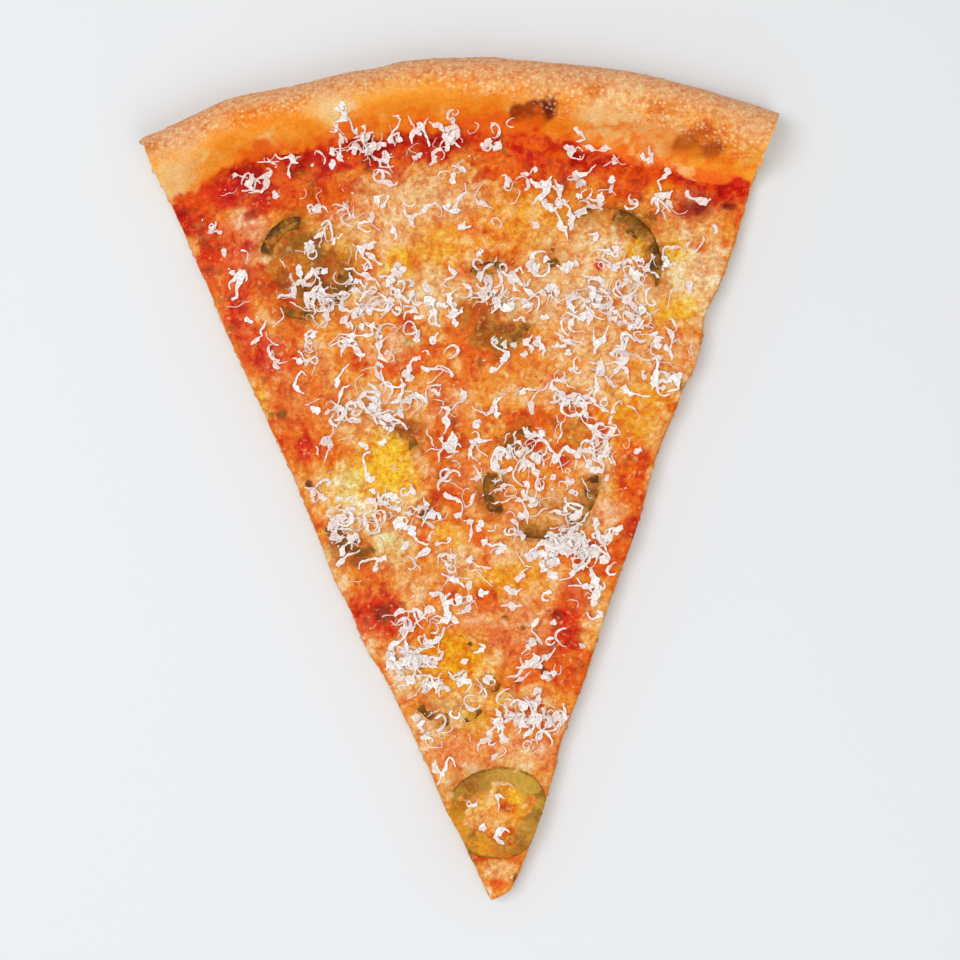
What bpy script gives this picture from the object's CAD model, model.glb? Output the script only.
# A wedge of cheese pizza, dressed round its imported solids: baked dough, tomato sauce, melted cheese, pepper
# rings and grated hard cheese. Shapes are worked out in millimetres and put into the meshes in metres.
import math

import bpy
import numpy as np
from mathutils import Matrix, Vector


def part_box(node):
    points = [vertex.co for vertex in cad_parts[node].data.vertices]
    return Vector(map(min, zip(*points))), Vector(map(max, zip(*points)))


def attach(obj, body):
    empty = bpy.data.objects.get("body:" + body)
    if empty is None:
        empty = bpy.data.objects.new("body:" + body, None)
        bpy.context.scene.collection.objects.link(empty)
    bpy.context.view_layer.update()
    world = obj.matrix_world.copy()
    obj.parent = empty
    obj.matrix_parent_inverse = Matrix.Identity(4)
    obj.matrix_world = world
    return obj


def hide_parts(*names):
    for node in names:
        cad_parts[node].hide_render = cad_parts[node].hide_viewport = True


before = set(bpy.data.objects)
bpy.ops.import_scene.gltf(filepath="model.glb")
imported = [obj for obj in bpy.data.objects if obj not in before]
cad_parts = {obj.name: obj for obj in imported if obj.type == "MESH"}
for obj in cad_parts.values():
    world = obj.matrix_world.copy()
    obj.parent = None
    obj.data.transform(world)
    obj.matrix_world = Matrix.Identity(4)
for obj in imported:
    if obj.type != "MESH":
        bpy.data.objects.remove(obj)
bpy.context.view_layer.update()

mm = 0.001
print("frame loaded:", len(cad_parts), "solids")


def ease(share):
    # 0 to 1 with a smooth start and end: s squared times (3 - 2s)
    share = np.clip(share, 0.0, 1.0)
    return share * share * (3.0 - 2.0 * share)


def easedBetween(stations, at):
    # the value at `at` between (position, value) stations, with an eased run from each to the next
    places, values = np.array(stations, float).T
    at = np.clip(np.asarray(at, float), places[0], places[-1])
    left = np.clip(np.searchsorted(places, at, side="right") - 1, 0, len(places) - 2)
    share = ease((at - places[left]) / (places[left + 1] - places[left]))
    return values[left] + share * (values[left + 1] - values[left])


def latticeNoise(points, size, seed):
    # -1 to 1: random values on a lattice `size` mm apart, blended between its eight corners by eased shares
    table = np.random.default_rng(seed).uniform(-1.0, 1.0, (48, 48, 48))
    place = points / size + 0.37 * seed
    corner = np.floor(place).astype(int)
    share = ease(place - corner)
    total = np.zeros(len(points))
    for offset in np.ndindex(2, 2, 2):
        weight = np.prod(np.where(offset, share, 1.0 - share), axis=1)
        total += weight * table[tuple((corner + offset).T % 48)]
    return total


def cloudNoise(points, size, octaves, seed):
    # noise at `size` and at each half of it in turn, each with half the weight of the one before
    total = sum(latticeNoise(points, size / 2**i, seed + 11 * i) / 2**i for i in range(octaves))
    return 1.3 * total / sum(1 / 2**i for i in range(octaves))


def swirl(points, size, reach, seed):
    # points pushed about by up to `reach` mm, so that noise read there folds and curls
    pushes = [latticeNoise(points, size, seed + i) for i in range(2)]
    return points + reach * np.stack([*pushes, np.zeros(len(points))], axis=1)


def cellField(points, size, seed):
    # one random spot in each cell of `size` mm: distance to
    # the nearest spot, and that spot's own number, 0 to 1
    rng = np.random.default_rng(seed)
    spots, numbers = rng.random((32, 32, 32, 3)), rng.random((32, 32, 32))
    place = points / size
    corner = np.floor(place).astype(int)
    nearest, number = np.full(len(points), 9.0), np.zeros(len(points))
    for offset in np.ndindex(3, 3, 3):
        cell = corner + np.array(offset) - 1
        index = tuple(cell.T % 32)
        distance = np.linalg.norm(place - cell - spots[index], axis=1)
        closer = distance < nearest
        nearest = np.where(closer, distance, nearest)
        number = np.where(closer, numbers[index], number)
    return nearest * size, number


def srgb(hexValue):
    # each pair of hex digits over 255
    return np.array([int(hexValue[i:i + 2], 16) for i in (0, 2, 4)]) / 255.0


def toLinear(colour):
    # sRGB to the linear values that shaders take
    colour = np.clip(colour, 0.0, 1.0)
    return np.where(colour <= 0.04045, colour / 12.92, ((colour + 0.055) / 1.055) ** 2.4)


def shaderColour(hexValue):
    # the linear red, green and blue, and a full alpha
    return (*toLinear(srgb(hexValue)), 1.0)


def mixTo(colours, other, share):
    # colour + share times (other - colour), where the other is one hex value or an array as long
    other = srgb(other) if isinstance(other, str) else other
    return colours + np.clip(share, 0.0, 1.0)[:, None] * (other - colours)


def alongStations(stations, at):
    # colour between (position, hex) stations, straight from each to the next
    places = [place for place, _ in stations]
    colours = np.array([srgb(hexValue) for _, hexValue in stations])
    return np.stack([np.interp(at, places, colours[:, i]) for i in range(3)], axis=1)


def paintDabs(colours, points, dabs, palette, seed):
    # for each (x, y, half width, half height, name, strength): an ellipse of that colour, whose
    # edge noise makes ragged and whose middle it thins, so that the mottling under it still shows
    flat = points * (1.0, 1.0, 0.0)
    ragged = 0.34 * cloudNoise(flat, 3.4, 3, seed) + 0.20 * latticeNoise(flat, 0.9, seed + 5)
    thinned = 1.0 - 0.25 * ease(0.5 + 1.6 * cloudNoise(flat, 2.2, 2, seed + 9))
    for x, y, halfWidth, halfHeight, name, strength in dabs:
        distance = np.hypot((points[:, 0] - x) / halfWidth, (points[:, 1] - y) / halfHeight)
        near = 1.0 - ease((distance + ragged - 0.55) / 0.9)
        colours = mixTo(colours, palette[name], strength * thinned * near)
    return colours


wedge = {
    "rimReach": 243.24,  # pie's centre to the furthest point of the rim
    "centreX": -0.5,
    "radius": 242.5,
    "halfAngle": math.radians(21.7),  # an eighth of the pie is twice this
    # how far the rim strays from the circle: (degrees, mm)
    "rimWander": (
        (-22, -0.2), (-19.4, -0.6), (-15.5, 0.3), (-10.7, -0.4), (-6, -0.1), (-2.5, 0.7),
        (2.3, 0.1), (4, -0.5), (8, -0.8), (12, -1.2), (15.6, -2.2), (22, -2.2),
    ),
    "tipRadii": (7.8, 10.3),  # where the blunt tip starts on the left and the right
    # how far each cut side strays outwards from a straight line: (radius, mm)
    "leftWander": (
        (8, -0.4), (26, -0.4), (38, 0.3), (50, -0.1), (74, 0.3), (88, 1.8), (98, 1.3), (106, 1.8),
        (120, 0.9), (140, 0.2), (182, 0.3), (200, -0.3), (230, -0.7), (242, -1.3),
    ),
    "rightWander": (
        (10, -0.6), (15, 0.1), (32, 0.6), (44, 0.4), (55, -0.6), (74, 0.1), (90, -0.3), (120, 0.1),
        (138, -0.9), (157, 0.0), (166, 1.1), (172, 0.8), (181, -0.8), (190, 0.4), (200, 0.7), (224, -0.4),
        (242, 0.6),
    ),
    "cutFlare": 0.3,  # the underside is that much wider than the top
    "rimShare": 0.9,  # of the radius, where the rim's angles are read
}
dough = {
    "baseAtTip": 3.4,
    "baseAtFoot": 4.6,
    "rimWidth": 22.5,
    "rimHeight": 16.5,
    "crownInward": 9.5,
    "bulgeHeight": 6.2,
    "tuck": 3.5,
    "heightWaves": ((5.0, 0.4, 0.8), (11.0, 1.9, 0.5)),  # waves per radian, phase, height
    "outlineWaves": ((23.0, 2.1, 0.2),),
}
layers = {
    "gap": 0.3,
    "sauceThickness": 0.9,
    "sauceInset": 0.2,
    "cheeseThickness": 2.4,
    "cheeseEdgeThickness": 0.3,
    "cheeseLeast": 0.15,
    "cheeseTaper": 11.0,
    "cheeseInset": 0.25,
    # distance in from the rim's outside to each layer's edge: (degrees, mm)
    "sauceEdge": (
        (-22, 20.5), (-14, 18.5), (-8, 19.5), (-2, 20.5), (6, 21.0), (9, 23.5), (14, 24.5), (18, 24.0),
        (22, 21.5),
    ),
    "cheeseEdge": (
        (-22, 32.5), (-16, 28.5), (-9, 26.5), (-2, 25.0), (4, 30.5), (12, 33.0), (19, 36.0), (22, 34.0),
    ),
}
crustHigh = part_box("crust")[1]
pieCentre = np.array([wedge["centreX"], crustHigh.y / mm - wedge["rimReach"]])


def waves(terms, angle):
    # sum of height times sin(count times angle + phase)
    return sum(height * np.sin(count * angle + phase) for count, phase, height in terms)


def wedgeAngle(radius, across, outward):
    # angle at `across`, -1 on the left cut and 1 on the right, moved out by `outward` mm
    left = wedge["halfAngle"] + (easedBetween(wedge["leftWander"], radius) + outward) / radius
    right = wedge["halfAngle"] + (easedBetween(wedge["rightWander"], radius) + outward) / radius
    return -left + (across + 1.0) / 2.0 * (left + right)


def tipRadius(across):
    # a straight cut from the left tip radius to the right one, in polar form
    left, right = wedge["tipRadii"]
    span = 2.0 * wedge["halfAngle"]
    turn = (across + 1.0) / 2.0 * span
    return left * right * np.sin(span) / (left * np.sin(turn) + right * np.sin(span - turn))


def rimRadius(angle):
    # the pie's circle, with its wander and a fine wave added
    wander = easedBetween(wedge["rimWander"], np.degrees(angle))
    return wedge["radius"] + wander + waves(dough["outlineWaves"], angle)


def baseHeight(radius):
    # straight from the height at the tip to that at the rim's foot, and level past it
    foot = wedge["radius"] - dough["rimWidth"]
    return dough["baseAtTip"] + (dough["baseAtFoot"] - dough["baseAtTip"]) * np.clip(radius / foot, 0.0, 1.0)


def doughHeight(radius, angle):
    # the base's upper face, then an eased climb up to the rim's crown
    climb = (radius - rimRadius(angle) + dough["rimWidth"]) / (dough["rimWidth"] - dough["crownInward"])
    crown = dough["rimHeight"] + waves(dough["heightWaves"], angle)
    return baseHeight(radius) + (crown - baseHeight(radius)) * ease(climb)


def pointAt(radius, angle, height):
    # polar form round the pie's centre to points in the frame
    x = pieCentre[0] + radius * np.sin(angle)
    y = pieCentre[1] + radius * np.cos(angle)
    return np.stack(np.broadcast_arrays(x, y, height), axis=-1)


def polarOf(points):
    # the reverse of pointAt: distance from the pie's centre, and angle from +Y
    away = points[..., :2] - pieCentre
    return np.hypot(away[..., 0], away[..., 1]), np.arctan2(away[..., 0], away[..., 1])


def edgeRadius(edge, angle, seed):
    # a layer's outer edge: its distance in from the rim, with uneven tongues 1 to 11 mm wide
    around = np.stack([np.sin(angle) * 240.0, np.zeros_like(angle), np.zeros_like(angle)], axis=-1)
    ragged = 2.4 * cloudNoise(around.reshape(-1, 3), 11.0, 4, seed).reshape(angle.shape)
    return rimRadius(angle) - easedBetween(edge, np.degrees(angle)) + ragged


ringShapes = {
    # middle in the frame, mean outer radius, wall, stretch, the stretch's direction in degrees
    "pepper_ring_upper_left": ((-45.6, 61.3), 13.8, 3.8, 0.05, 90),
    "pepper_ring_upper_right": ((37.9, 57.8), 16.3, 4.4, 0.04, 120),
    "pepper_ring_upper_middle": ((6.9, 47.8), 12.0, 3.6, 0.05, 80),
    "pepper_ring_middle_right": ((17.4, -1.7), 16.2, 4.0, 0.04, 45),
    "pepper_ring_middle_left": ((-28.6, -2.2), 17.2, 4.0, 0.10, 65),
    "pepper_ring_lower_left": ((-10.6, -55.7), 13.2, 3.8, 0.04, 0),
    "pepper_ring_tip": ((0.1, -93.2), 13.6, 6.6, 0.06, 10),
}
ringBare = {
    # arcs where the pepper shows: (degrees from +X, half width in degrees, how bare)
    "pepper_ring_upper_left": ((122, 36, 0.95), (-20, 32, 0.9), (-105, 26, 0.5), (55, 16, 0.4)),
    "pepper_ring_upper_right": ((28, 54, 1.0), (110, 24, 0.5), (165, 12, 0.4)),
    "pepper_ring_upper_middle": ((97, 30, 0.75), (-60, 34, 0.65), (190, 20, 0.4)),
    "pepper_ring_middle_right": (
        (118, 24, 0.65), (190, 26, 0.75), (-101, 26, 0.7), (-27, 30, 0.8), (50, 14, 0.4),
    ),
    "pepper_ring_middle_left": ((60, 24, 0.5), (-131, 18, 0.6), (-108, 16, 0.5), (-20, 14, 0.4)),
    "pepper_ring_lower_left": ((-95, 48, 0.55), (-10, 16, 0.5), (60, 14, 0.4)),
    "pepper_ring_tip": ((0, 180, 1.0),),
}
ringFit = {
    "lobes": 0.025,  # three shallow lobes, as a share of the radius
    "ridge": 0.45,  # cheese heaped over a buried stretch
    "groove": 0.65,  # cheese held down beside a bare stretch
    "sink": 0.8,  # how far a buried stretch lies under its bare height
    "pool": 0.35,  # dip of the cheese inside a ring
    "fray": 8.0,  # degrees by which the ends of a bare stretch wander
    "clear": 0.15,  # the finished ring is that much smaller than its solid
    "outerRagged": 0.3,  # how far its outer edge strays
    "innerRagged": 0.24,  # how far its inner edge strays, as a share of the wall
    "slump": 0.13,  # how far its top falls towards the inner edge, as a share of the wall
}


def ringPlace(name, points):
    # distance in from the ring's outside, as a share of its wall, and the angle round its middle
    middle, outer, wall = ringShapes[name][:3]
    away = points[..., :2] - np.array(middle)
    turn = np.arctan2(away[..., 1], away[..., 0])
    reach = np.hypot(away[..., 0], away[..., 1])
    return (outer * ringSwell(name, turn) - reach) / wall, turn


def ringSwell(name, turn):
    # a circle stretched in one direction and given three lobes
    _, _, _, stretch, direction = ringShapes[name]
    turned = turn - math.radians(direction)
    return 1.0 + stretch * np.cos(2.0 * turned) + ringFit["lobes"] * np.sin(3.0 * turned)


def bareness(name, turn):
    # 1 where the ring lies open, 0 where cheese covers it, with eased and wandering ends to each arc
    around = np.stack([np.cos(turn), np.sin(turn), np.zeros_like(turn)], axis=-1) * ringShapes[name][1]
    fray = ringFit["fray"] * cloudNoise(around.reshape(-1, 3), 5.0, 3, 90).reshape(turn.shape)
    bare = np.zeros_like(turn)
    for degrees, halfWidth, amount in ringBare[name]:
        off = np.abs((np.degrees(turn) - degrees + 180.0) % 360.0 - 180.0) + fray * (halfWidth < 180)
        bare = np.maximum(bare, amount * (1.0 - ease((off - 0.7 * halfWidth) / (0.6 * halfWidth))))
    return bare


toppingColours = {
    "oil": "e88828",
    "curd": "f8dab0",
    "lit": "f08434",
    "tan": "e6aa6c",
    "amber": "ec9410",
    "apricot": "ee8e30",
    "flame": "e85a02",
    "rust": "dc4604",
    "yellow": "eeaa20",
    "gold": "ea9a02",
    "lemon": "f0b61c",
    "wheat": "eaba7c",
    "cream": "f0ce94",
    "pale": "f4e0bc",
    "green": "e2cc82",
    "salmon": "e68a64",
    "red": "d21c04",
    "deepRed": "b40c03",
    "maroon": "5e120c",
    "bronze": "b46a10",
    "olive": "745010",
    "brown": "84441a",
    "burnt": "4e240e",
}
toppingShares = {
    # how strongly each colour is mixed in
    "rust": 0.7, "tan": 0.6, "reddened": 0.9, "deepened": 0.85, "bronze": 0.6, "brown": 0.6,
    "besideTip": 0.25, "curd": 0.42, "lit": 0.55, "seared": 0.5,
}
toppingDabs = (
    # x, y, half width, half height, colour, strength
    (-70, 72, 5, 12, "flame", 0.8), (-73, 70, 1.5, 10, "red", 0.6), (-70, 79, 3, 3, "gold", 0.8),
    (-62, 77, 4, 3, "cream", 0.7), (-63, 70, 9, 9, "salmon", 0.6), (-60, 77, 2.5, 1.5, "deepRed", 0.7),
    (-61, 68, 2, 1.5, "deepRed", 0.7), (-58, 62, 2, 1.5, "red", 0.7), (-45, 84, 8, 5, "rust", 0.7),
    (-46, 88, 2.5, 1.5, "olive", 0.6), (-20, 79, 12, 8, "wheat", 0.8), (-3, 78, 8, 5, "tan", 0.7),
    (-33, 67, 4, 2, "gold", 0.7), (-19, 62, 4.5, 6, "lemon", 0.9), (-5, 65, 10, 5, "yellow", 0.7),
    (19, 70, 10, 8, "amber", 0.6), (3, 66, 8, 6, "apricot", 0.5), (64, 58, 9, 11, "cream", 0.8),
    (58, 61, 4, 3.5, "lemon", 0.8), (57, 53, 3.5, 3.5, "green", 0.7), (65, 61.5, 2.5, 1.5, "rust", 0.8),
    (72, 62, 1.5, 1.5, "rust", 0.8), (56, 45, 8, 3.5, "lemon", 0.8), (5, 40, 5, 3.5, "olive", 0.6),
    (10, 41.5, 3, 2, "maroon", 0.4), (-50, 24, 10, 12, "rust", 0.6), (-60, 38, 4, 8, "red", 0.5),
    (-54, 21, 1.5, 1.2, "olive", 0.7), (-57, 21, 1, 1, "olive", 0.6), (-60, 24, 2.5, 9, "yellow", 0.5),
    (-18, 39, 1.5, 1.2, "olive", 0.7), (46, 16, 9, 8, "yellow", 0.6), (40, 23, 5, 1.3, "lemon", 0.6),
    (62.5, 32, 2, 4, "cream", 0.7), (57.5, 22.5, 1.5, 2.5, "burnt", 0.4), (-30, 2, 13, 11, "yellow", 0.85),
    (-27, 4, 8, 6, "lemon", 0.9), (-36, 2, 5, 5, "green", 0.85), (-34, -5, 5, 4, "pale", 0.85),
    (-16, 5, 4, 6, "tan", 0.6), (-25, -18, 6, 4.5, "green", 0.75), (-40, -16, 2.5, 3, "brown", 0.5),
    (-35, -21, 3, 1.5, "burnt", 0.4), (-18, 15, 4, 3, "brown", 0.5), (-26, 18, 3, 1.5, "brown", 0.5),
    (-48, 11, 2.2, 3.5, "red", 0.85), (-47.5, 1, 1, 1, "burnt", 0.9), (-8, 6, 8, 14, "rust", 0.5),
    (-9.5, -16, 4, 3.5, "yellow", 0.7), (7, -27, 8, 5, "gold", 0.6), (43, 1, 5, 7, "flame", 0.7),
    (42, -15.5, 2.2, 3, "deepRed", 0.8), (36.5, -11, 4, 3.5, "salmon", 0.5), (47.5, -6, 1.6, 6, "cream", 0.6),
    (-31, -36, 7, 7, "red", 0.85), (-28.5, -36, 2, 2.3, "maroon", 0.75), (-11, -49, 9, 8, "gold", 0.95),
    (-20, -54, 6, 6, "wheat", 0.6), (-24, -50.5, 5.5, 5.5, "pale", 0.75), (-24.5, -56, 3.5, 5, "wheat", 0.6),
    (8, -42, 13, 8, "salmon", 0.5), (5, -39, 0.9, 0.8, "burnt", 0.8), (10, -42, 0.8, 0.8, "burnt", 0.8),
    (15, -54, 0.9, 0.8, "burnt", 0.8), (8, -57, 0.8, 0.8, "burnt", 0.8), (21.5, -43, 4, 6, "red", 0.8),
    (20, -39, 1.5, 1.8, "maroon", 0.7), (-11, -63, 7, 3, "green", 0.6), (-6, -66.5, 6.5, 3.5, "gold", 0.6),
    (2.5, -58, 3, 9, "yellow", 0.7), (12, -63.5, 2.5, 2, "red", 0.8), (6.5, -74, 2.2, 1.5, "rust", 0.8),
    (-9, -76, 9, 4, "salmon", 0.5), (9, -77, 9, 5, "cream", 0.6), (-2, -105.5, 5, 1, "rust", 0.9),
    (0, -109.5, 4.5, 3, "wheat", 0.7), (0, -113.5, 2.5, 1.6, "flame", 0.95),
    (4.5, -112, 1, 1.5, "burnt", 0.8), (-4, -115.5, 1.5, 1.5, "pale", 0.8), (-45, 61, 11, 12, "bronze", 0.85),
    (-38, 70, 5, 3, "gold", 0.5), (-41, 57, 4, 3, "brown", 0.5), (-50, 61, 3, 4, "flame", 0.4),
    (-22, 69, 10, 5, "wheat", 0.7), (-18, 53, 16, 5, "wheat", 0.6), (8, 55, 14, 5, "wheat", 0.5),
    (30, 50, 18, 7, "wheat", 0.6), (50, 50, 7, 5, "tan", 0.6), (24, 63, 8, 5, "tan", 0.6),
    (33, 36, 12, 5, "tan", 0.6), (52, 33, 8, 6, "tan", 0.6), (36, 24, 9, 4, "tan", 0.5),
    (-24, -8, 8, 7, "wheat", 0.7), (-38, -10, 6, 5, "wheat", 0.5), (-8, -24, 8, 5, "tan", 0.7),
    (6, -22, 7, 4, "tan", 0.5), (24, -10, 9, 7, "tan", 0.4), (-25, -22, 6, 4, "tan", 0.5),
    (-20, -68, 4, 4, "wheat", 0.6), (-14, -68, 7, 4, "tan", 0.6), (-2, -28, 5, 4, "yellow", 0.5),
    (-56, 80, 8, 3, "red", 0.7), (-68, 83, 6, 4, "red", 0.8), (-72, 66, 3, 10, "red", 0.6),
    (-65, 50, 4, 8, "red", 0.6), (-56, 38, 6, 6, "red", 0.5), (24, -36, 5, 6, "red", 0.5),
    (6, 47, 8, 4, "brown", 0.35), (20, 84, 8, 4, "rust", 0.6), (67, 84, 8, 2.5, "rust", 0.6),
    (-38, 95, 6, 2.5, "red", 0.6), (24, 97, 7, 3, "red", 0.6), (38, 58, 11, 11, "wheat", 0.6),
    (36.5, 58, 1.8, 1.8, "red", 0.8), (47, 61, 3, 3, "gold", 0.7), (16, 9, 2, 1.5, "deepRed", 0.85),
    (24, 3.5, 2, 1.5, "deepRed", 0.85), (0, -92, 8, 7, "yellow", 0.7), (-3, -91, 5, 3.5, "wheat", 0.5),
    (5, -89, 3.5, 3, "lemon", 0.8), (3, -92, 2.4, 1.7, "rust", 0.9), (-1, -93.5, 3, 1.6, "apricot", 0.6),
    (-2, -95.5, 6, 2.5, "tan", 0.6), (17, 88, 9, 6, "flame", 0.8), (15, 91, 2.5, 2, "red", 0.8),
    (20, 88, 2.5, 2, "red", 0.8), (35.5, 89, 4, 4, "deepRed", 0.8), (43, 79.5, 5.5, 4.5, "flame", 0.7),
    (55, 78, 6, 3, "amber", 0.7), (64.5, 72.5, 4, 3, "maroon", 0.6), (74, 72.5, 2.2, 1.2, "maroon", 0.8),
    (64, 76, 6, 2, "salmon", 0.6), (76, 76.5, 3, 4, "red", 0.9), (-68, 66, 6, 7, "red", 0.45),
    (-36, 72, 6, 5, "wheat", 0.5), (67, 66, 6, 5, "apricot", 0.5), (-53, 53, 6, 6, "rust", 0.45),
    (-23, 55, 7, 6, "wheat", 0.5), (-8, 54, 6, 5, "cream", 0.4), (-23, 38, 7, 6, "wheat", 0.55),
    (-8, 22, 7, 6, "wheat", 0.5), (22, 25, 7, 5, "tan", 0.5), (-38, 9, 5, 5, "rust", 0.4),
    (52, 9, 5, 6, "wheat", 0.5), (7, -8, 6, 6, "rust", 0.4), (22, -9, 6, 4, "brown", 0.3),
    (-8, -21, 6, 5, "wheat", 0.4), (-8, -38, 6, 5, "wheat", 0.5), (7, -53, 6, 6, "rust", 0.5),
    (8, -68, 6, 5, "rust", 0.4), (-29, 1, 11, 10, "yellow", 0.8), (-25, 4, 7, 7, "lemon", 0.6),
    (-12, -50, 9, 8, "gold", 0.8), (-50, 66, 3, 2, "brown", 0.6), (-47, 55, 2.5, 2, "burnt", 0.45),
    (-42, 65, 2, 3, "olive", 0.7), (-52, 58, 2, 3, "brown", 0.6), (-39, 61, 2, 2, "burnt", 0.4),
    (-45, 69, 6, 2, "olive", 0.6), (-37, 1, 4, 4, "green", 0.7), (-34, -6, 4, 3, "pale", 0.7),
    (-27, -16, 6, 4, "green", 0.6), (-62, 85.5, 7, 3.5, "deepRed", 0.9), (-60, 89, 5, 1.5, "deepRed", 0.8),
    (-47, 93, 5, 1.6, "deepRed", 0.8), (-34, 90, 5, 2, "red", 0.8), (-20, 96, 7, 2.6, "deepRed", 0.85),
    (-5, 95, 7, 2.6, "deepRed", 0.85), (50, 82, 9, 3, "flame", 0.6), (70, 80, 9, 2.6, "red", 0.7),
    (-74, 80, 4, 4, "rust", 0.7),
)
cheeseRelief = {
    "lumpSize": 9.0, "lump": 0.26,  # mm
    "curd": 0.26,
    "grainSize": 0.9, "grain": 0.09,
    "edgeRound": 1.3, "edgeDrop": 1.1,  # how far in from a cut side the top rounds over, and how deep
}
drifts = {"broad": 11.0, "middling": 4.2, "curd": 2.2, "fine": 0.95}  # sizes of the cheese's blotches, in mm


def curdField(points):
    # folded noise that is high on the cheese's curds and low in the oil between them
    return cloudNoise(swirl(points * (1.0, 1.0, 0.0), 2.6, 1.1, 66), drifts["curd"], 3, 67)


def toppingTones(points):
    # orange oil and tan cheese in broad drifts and smaller blotches, a band of tomato
    # red where the cheese thins towards the rim, a brown stain beside bare pepper, the
    # named patches, then pale curds in the light places and dark pits in the red ones
    flat = points * (1.0, 1.0, 0.0)
    radius, angle = polarOf(points)
    folded = swirl(flat, 7.0, 2.4, 91)
    broad, middling, fine = (cloudNoise(folded, drifts[name], 3, 70 + i) for i, name in enumerate(
        ("broad", "middling", "fine")))
    curd = curdField(points)
    colours = np.tile(srgb(toppingColours["oil"]), (len(points), 1))
    rusty = toppingShares["rust"] * ease(1.7 * broad + 0.4 * middling)
    tanned = toppingShares["tan"] * ease(0.15 - 1.7 * broad + 0.4 * middling)
    colours = mixTo(mixTo(colours, toppingColours["rust"], rusty), toppingColours["tan"], tanned)
    toEdge = sauceEdgeRadius(angle) - radius
    reddened = ease((12.0 - toEdge) / 8.0 + 0.9 * middling + 0.3 * curd)
    colours = mixTo(colours, toppingColours["rust"], toppingShares["reddened"] * reddened)
    deepened = reddened * ease(0.4 + 2.2 * middling + 0.8 * curd)
    colours = mixTo(colours, toppingColours["deepRed"], toppingShares["deepened"] * deepened)
    for name in ringShapes:
        inward, turn = ringPlace(name, points)
        beside = ease(0.9 - (np.abs(inward - 0.5) - 0.5) / 0.9 + 0.9 * middling) * bareness(name, turn)
        beside = beside * (toppingShares["besideTip"] if name == "pepper_ring_tip" else 1.0)
        colours = mixTo(colours, toppingColours["bronze"], toppingShares["bronze"] * beside)
        roasted = toppingShares["brown"] * beside * ease(0.3 + 1.8 * curd)
        colours = mixTo(colours, toppingColours["brown"], roasted)
    colours = paintDabs(colours, points, toppingDabs, toppingColours, 3)
    redness = ease((colours[:, 0] - colours[:, 1] - 0.36) / 0.3)
    light = ease((colours[:, 1] - 0.42) / 0.10)
    yellow = ease((colours[:, 1] - colours[:, 2] - 0.42) / 0.2)
    pale = ease(2.2 * curd - 0.2 + 0.9 * middling) * (1.0 - 0.85 * redness) * light * (1.0 - 0.6 * yellow)
    colours = mixTo(colours, toppingColours["curd"], toppingShares["curd"] * pale)
    lit = ease(2.4 * curd - 0.5 + 0.6 * fine) * redness
    colours = mixTo(colours, toppingColours["lit"], toppingShares["lit"] * lit)
    pits = ease(-2.6 * curd - 0.3 - 0.6 * fine) * (0.35 + 0.65 * redness)
    colours = colours * (1.0 - pits[:, None] * (0.15, 0.55, 0.7))
    seared = ease(2.6 * cloudNoise(folded, 2.6, 3, 75) - 0.9) * (1.0 - light)
    colours = mixTo(colours, toppingColours["brown"], toppingShares["seared"] * seared)
    streak = ease(1.8 * cloudNoise(folded * (1.0, 2.6, 1.0), 4.0, 3, 74) - 0.35)
    colours = colours * (1.0 - streak[:, None] * (0.03, 0.18, 0.35))
    return np.clip(colours * (0.985, 1.01, 1.07) * (1.0 + 0.17 * fine[:, None] * (0.2, 1.0, 2.2)), 0.0, 1.0)


def cheeseEdgeRadius(angle):
    # where the melted cheese ends towards the rim
    return edgeRadius(layers["cheeseEdge"], angle, 31)


def sauceEdgeRadius(angle):
    # where the sauce ends towards the rim
    return edgeRadius(layers["sauceEdge"], angle, 47)


def sauceTop(radius, angle):
    # the dough's height plus a gap and the sauce's thickness
    return doughHeight(radius, angle) + layers["gap"] + layers["sauceThickness"]


def cheeseTop(points):
    # height of the melted cheese: its thickness, thinned to a film towards the rim, with ridges over buried
    # rings, grooves beside bare ones, dips inside them, and lumps, curds and grain of three sizes of noise
    radius, angle = polarOf(points)
    flat = points * (1.0, 1.0, 0.0)
    thin = ease((cheeseEdgeRadius(angle) - radius) / layers["cheeseTaper"])
    change = np.zeros(len(points))
    creep = 0.5 * cloudNoise(flat, 2.2, 3, 64)
    cover = ease(1.1 + 2.2 * cloudNoise(flat, 3.4, 3, 65))
    for name in ringShapes:
        inward, turn = ringPlace(name, points)
        bare = bareness(name, turn) * cover
        overWall = 1.0 - ease(np.abs(inward - 0.5) / 0.8 - 0.3 + creep)
        change += overWall * (ringFit["ridge"] - (ringFit["ridge"] + ringFit["groove"]) * bare)
        change -= ringFit["pool"] * ease((inward - 1.0) / 0.8)
    change += cheeseRelief["lump"] * cloudNoise(flat, cheeseRelief["lumpSize"], 2, 61)
    change += cheeseRelief["curd"] * curdField(points)
    change += cheeseRelief["grain"] * latticeNoise(flat, cheeseRelief["grainSize"], 63)
    edge = layers["cheeseEdgeThickness"]
    thickness = edge + (layers["cheeseThickness"] - edge) * thin
    thickness = np.maximum(thickness + change * (0.25 + 0.75 * thin), layers["cheeseLeast"])
    return sauceTop(radius, angle) + layers["gap"] * thin + thickness


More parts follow.
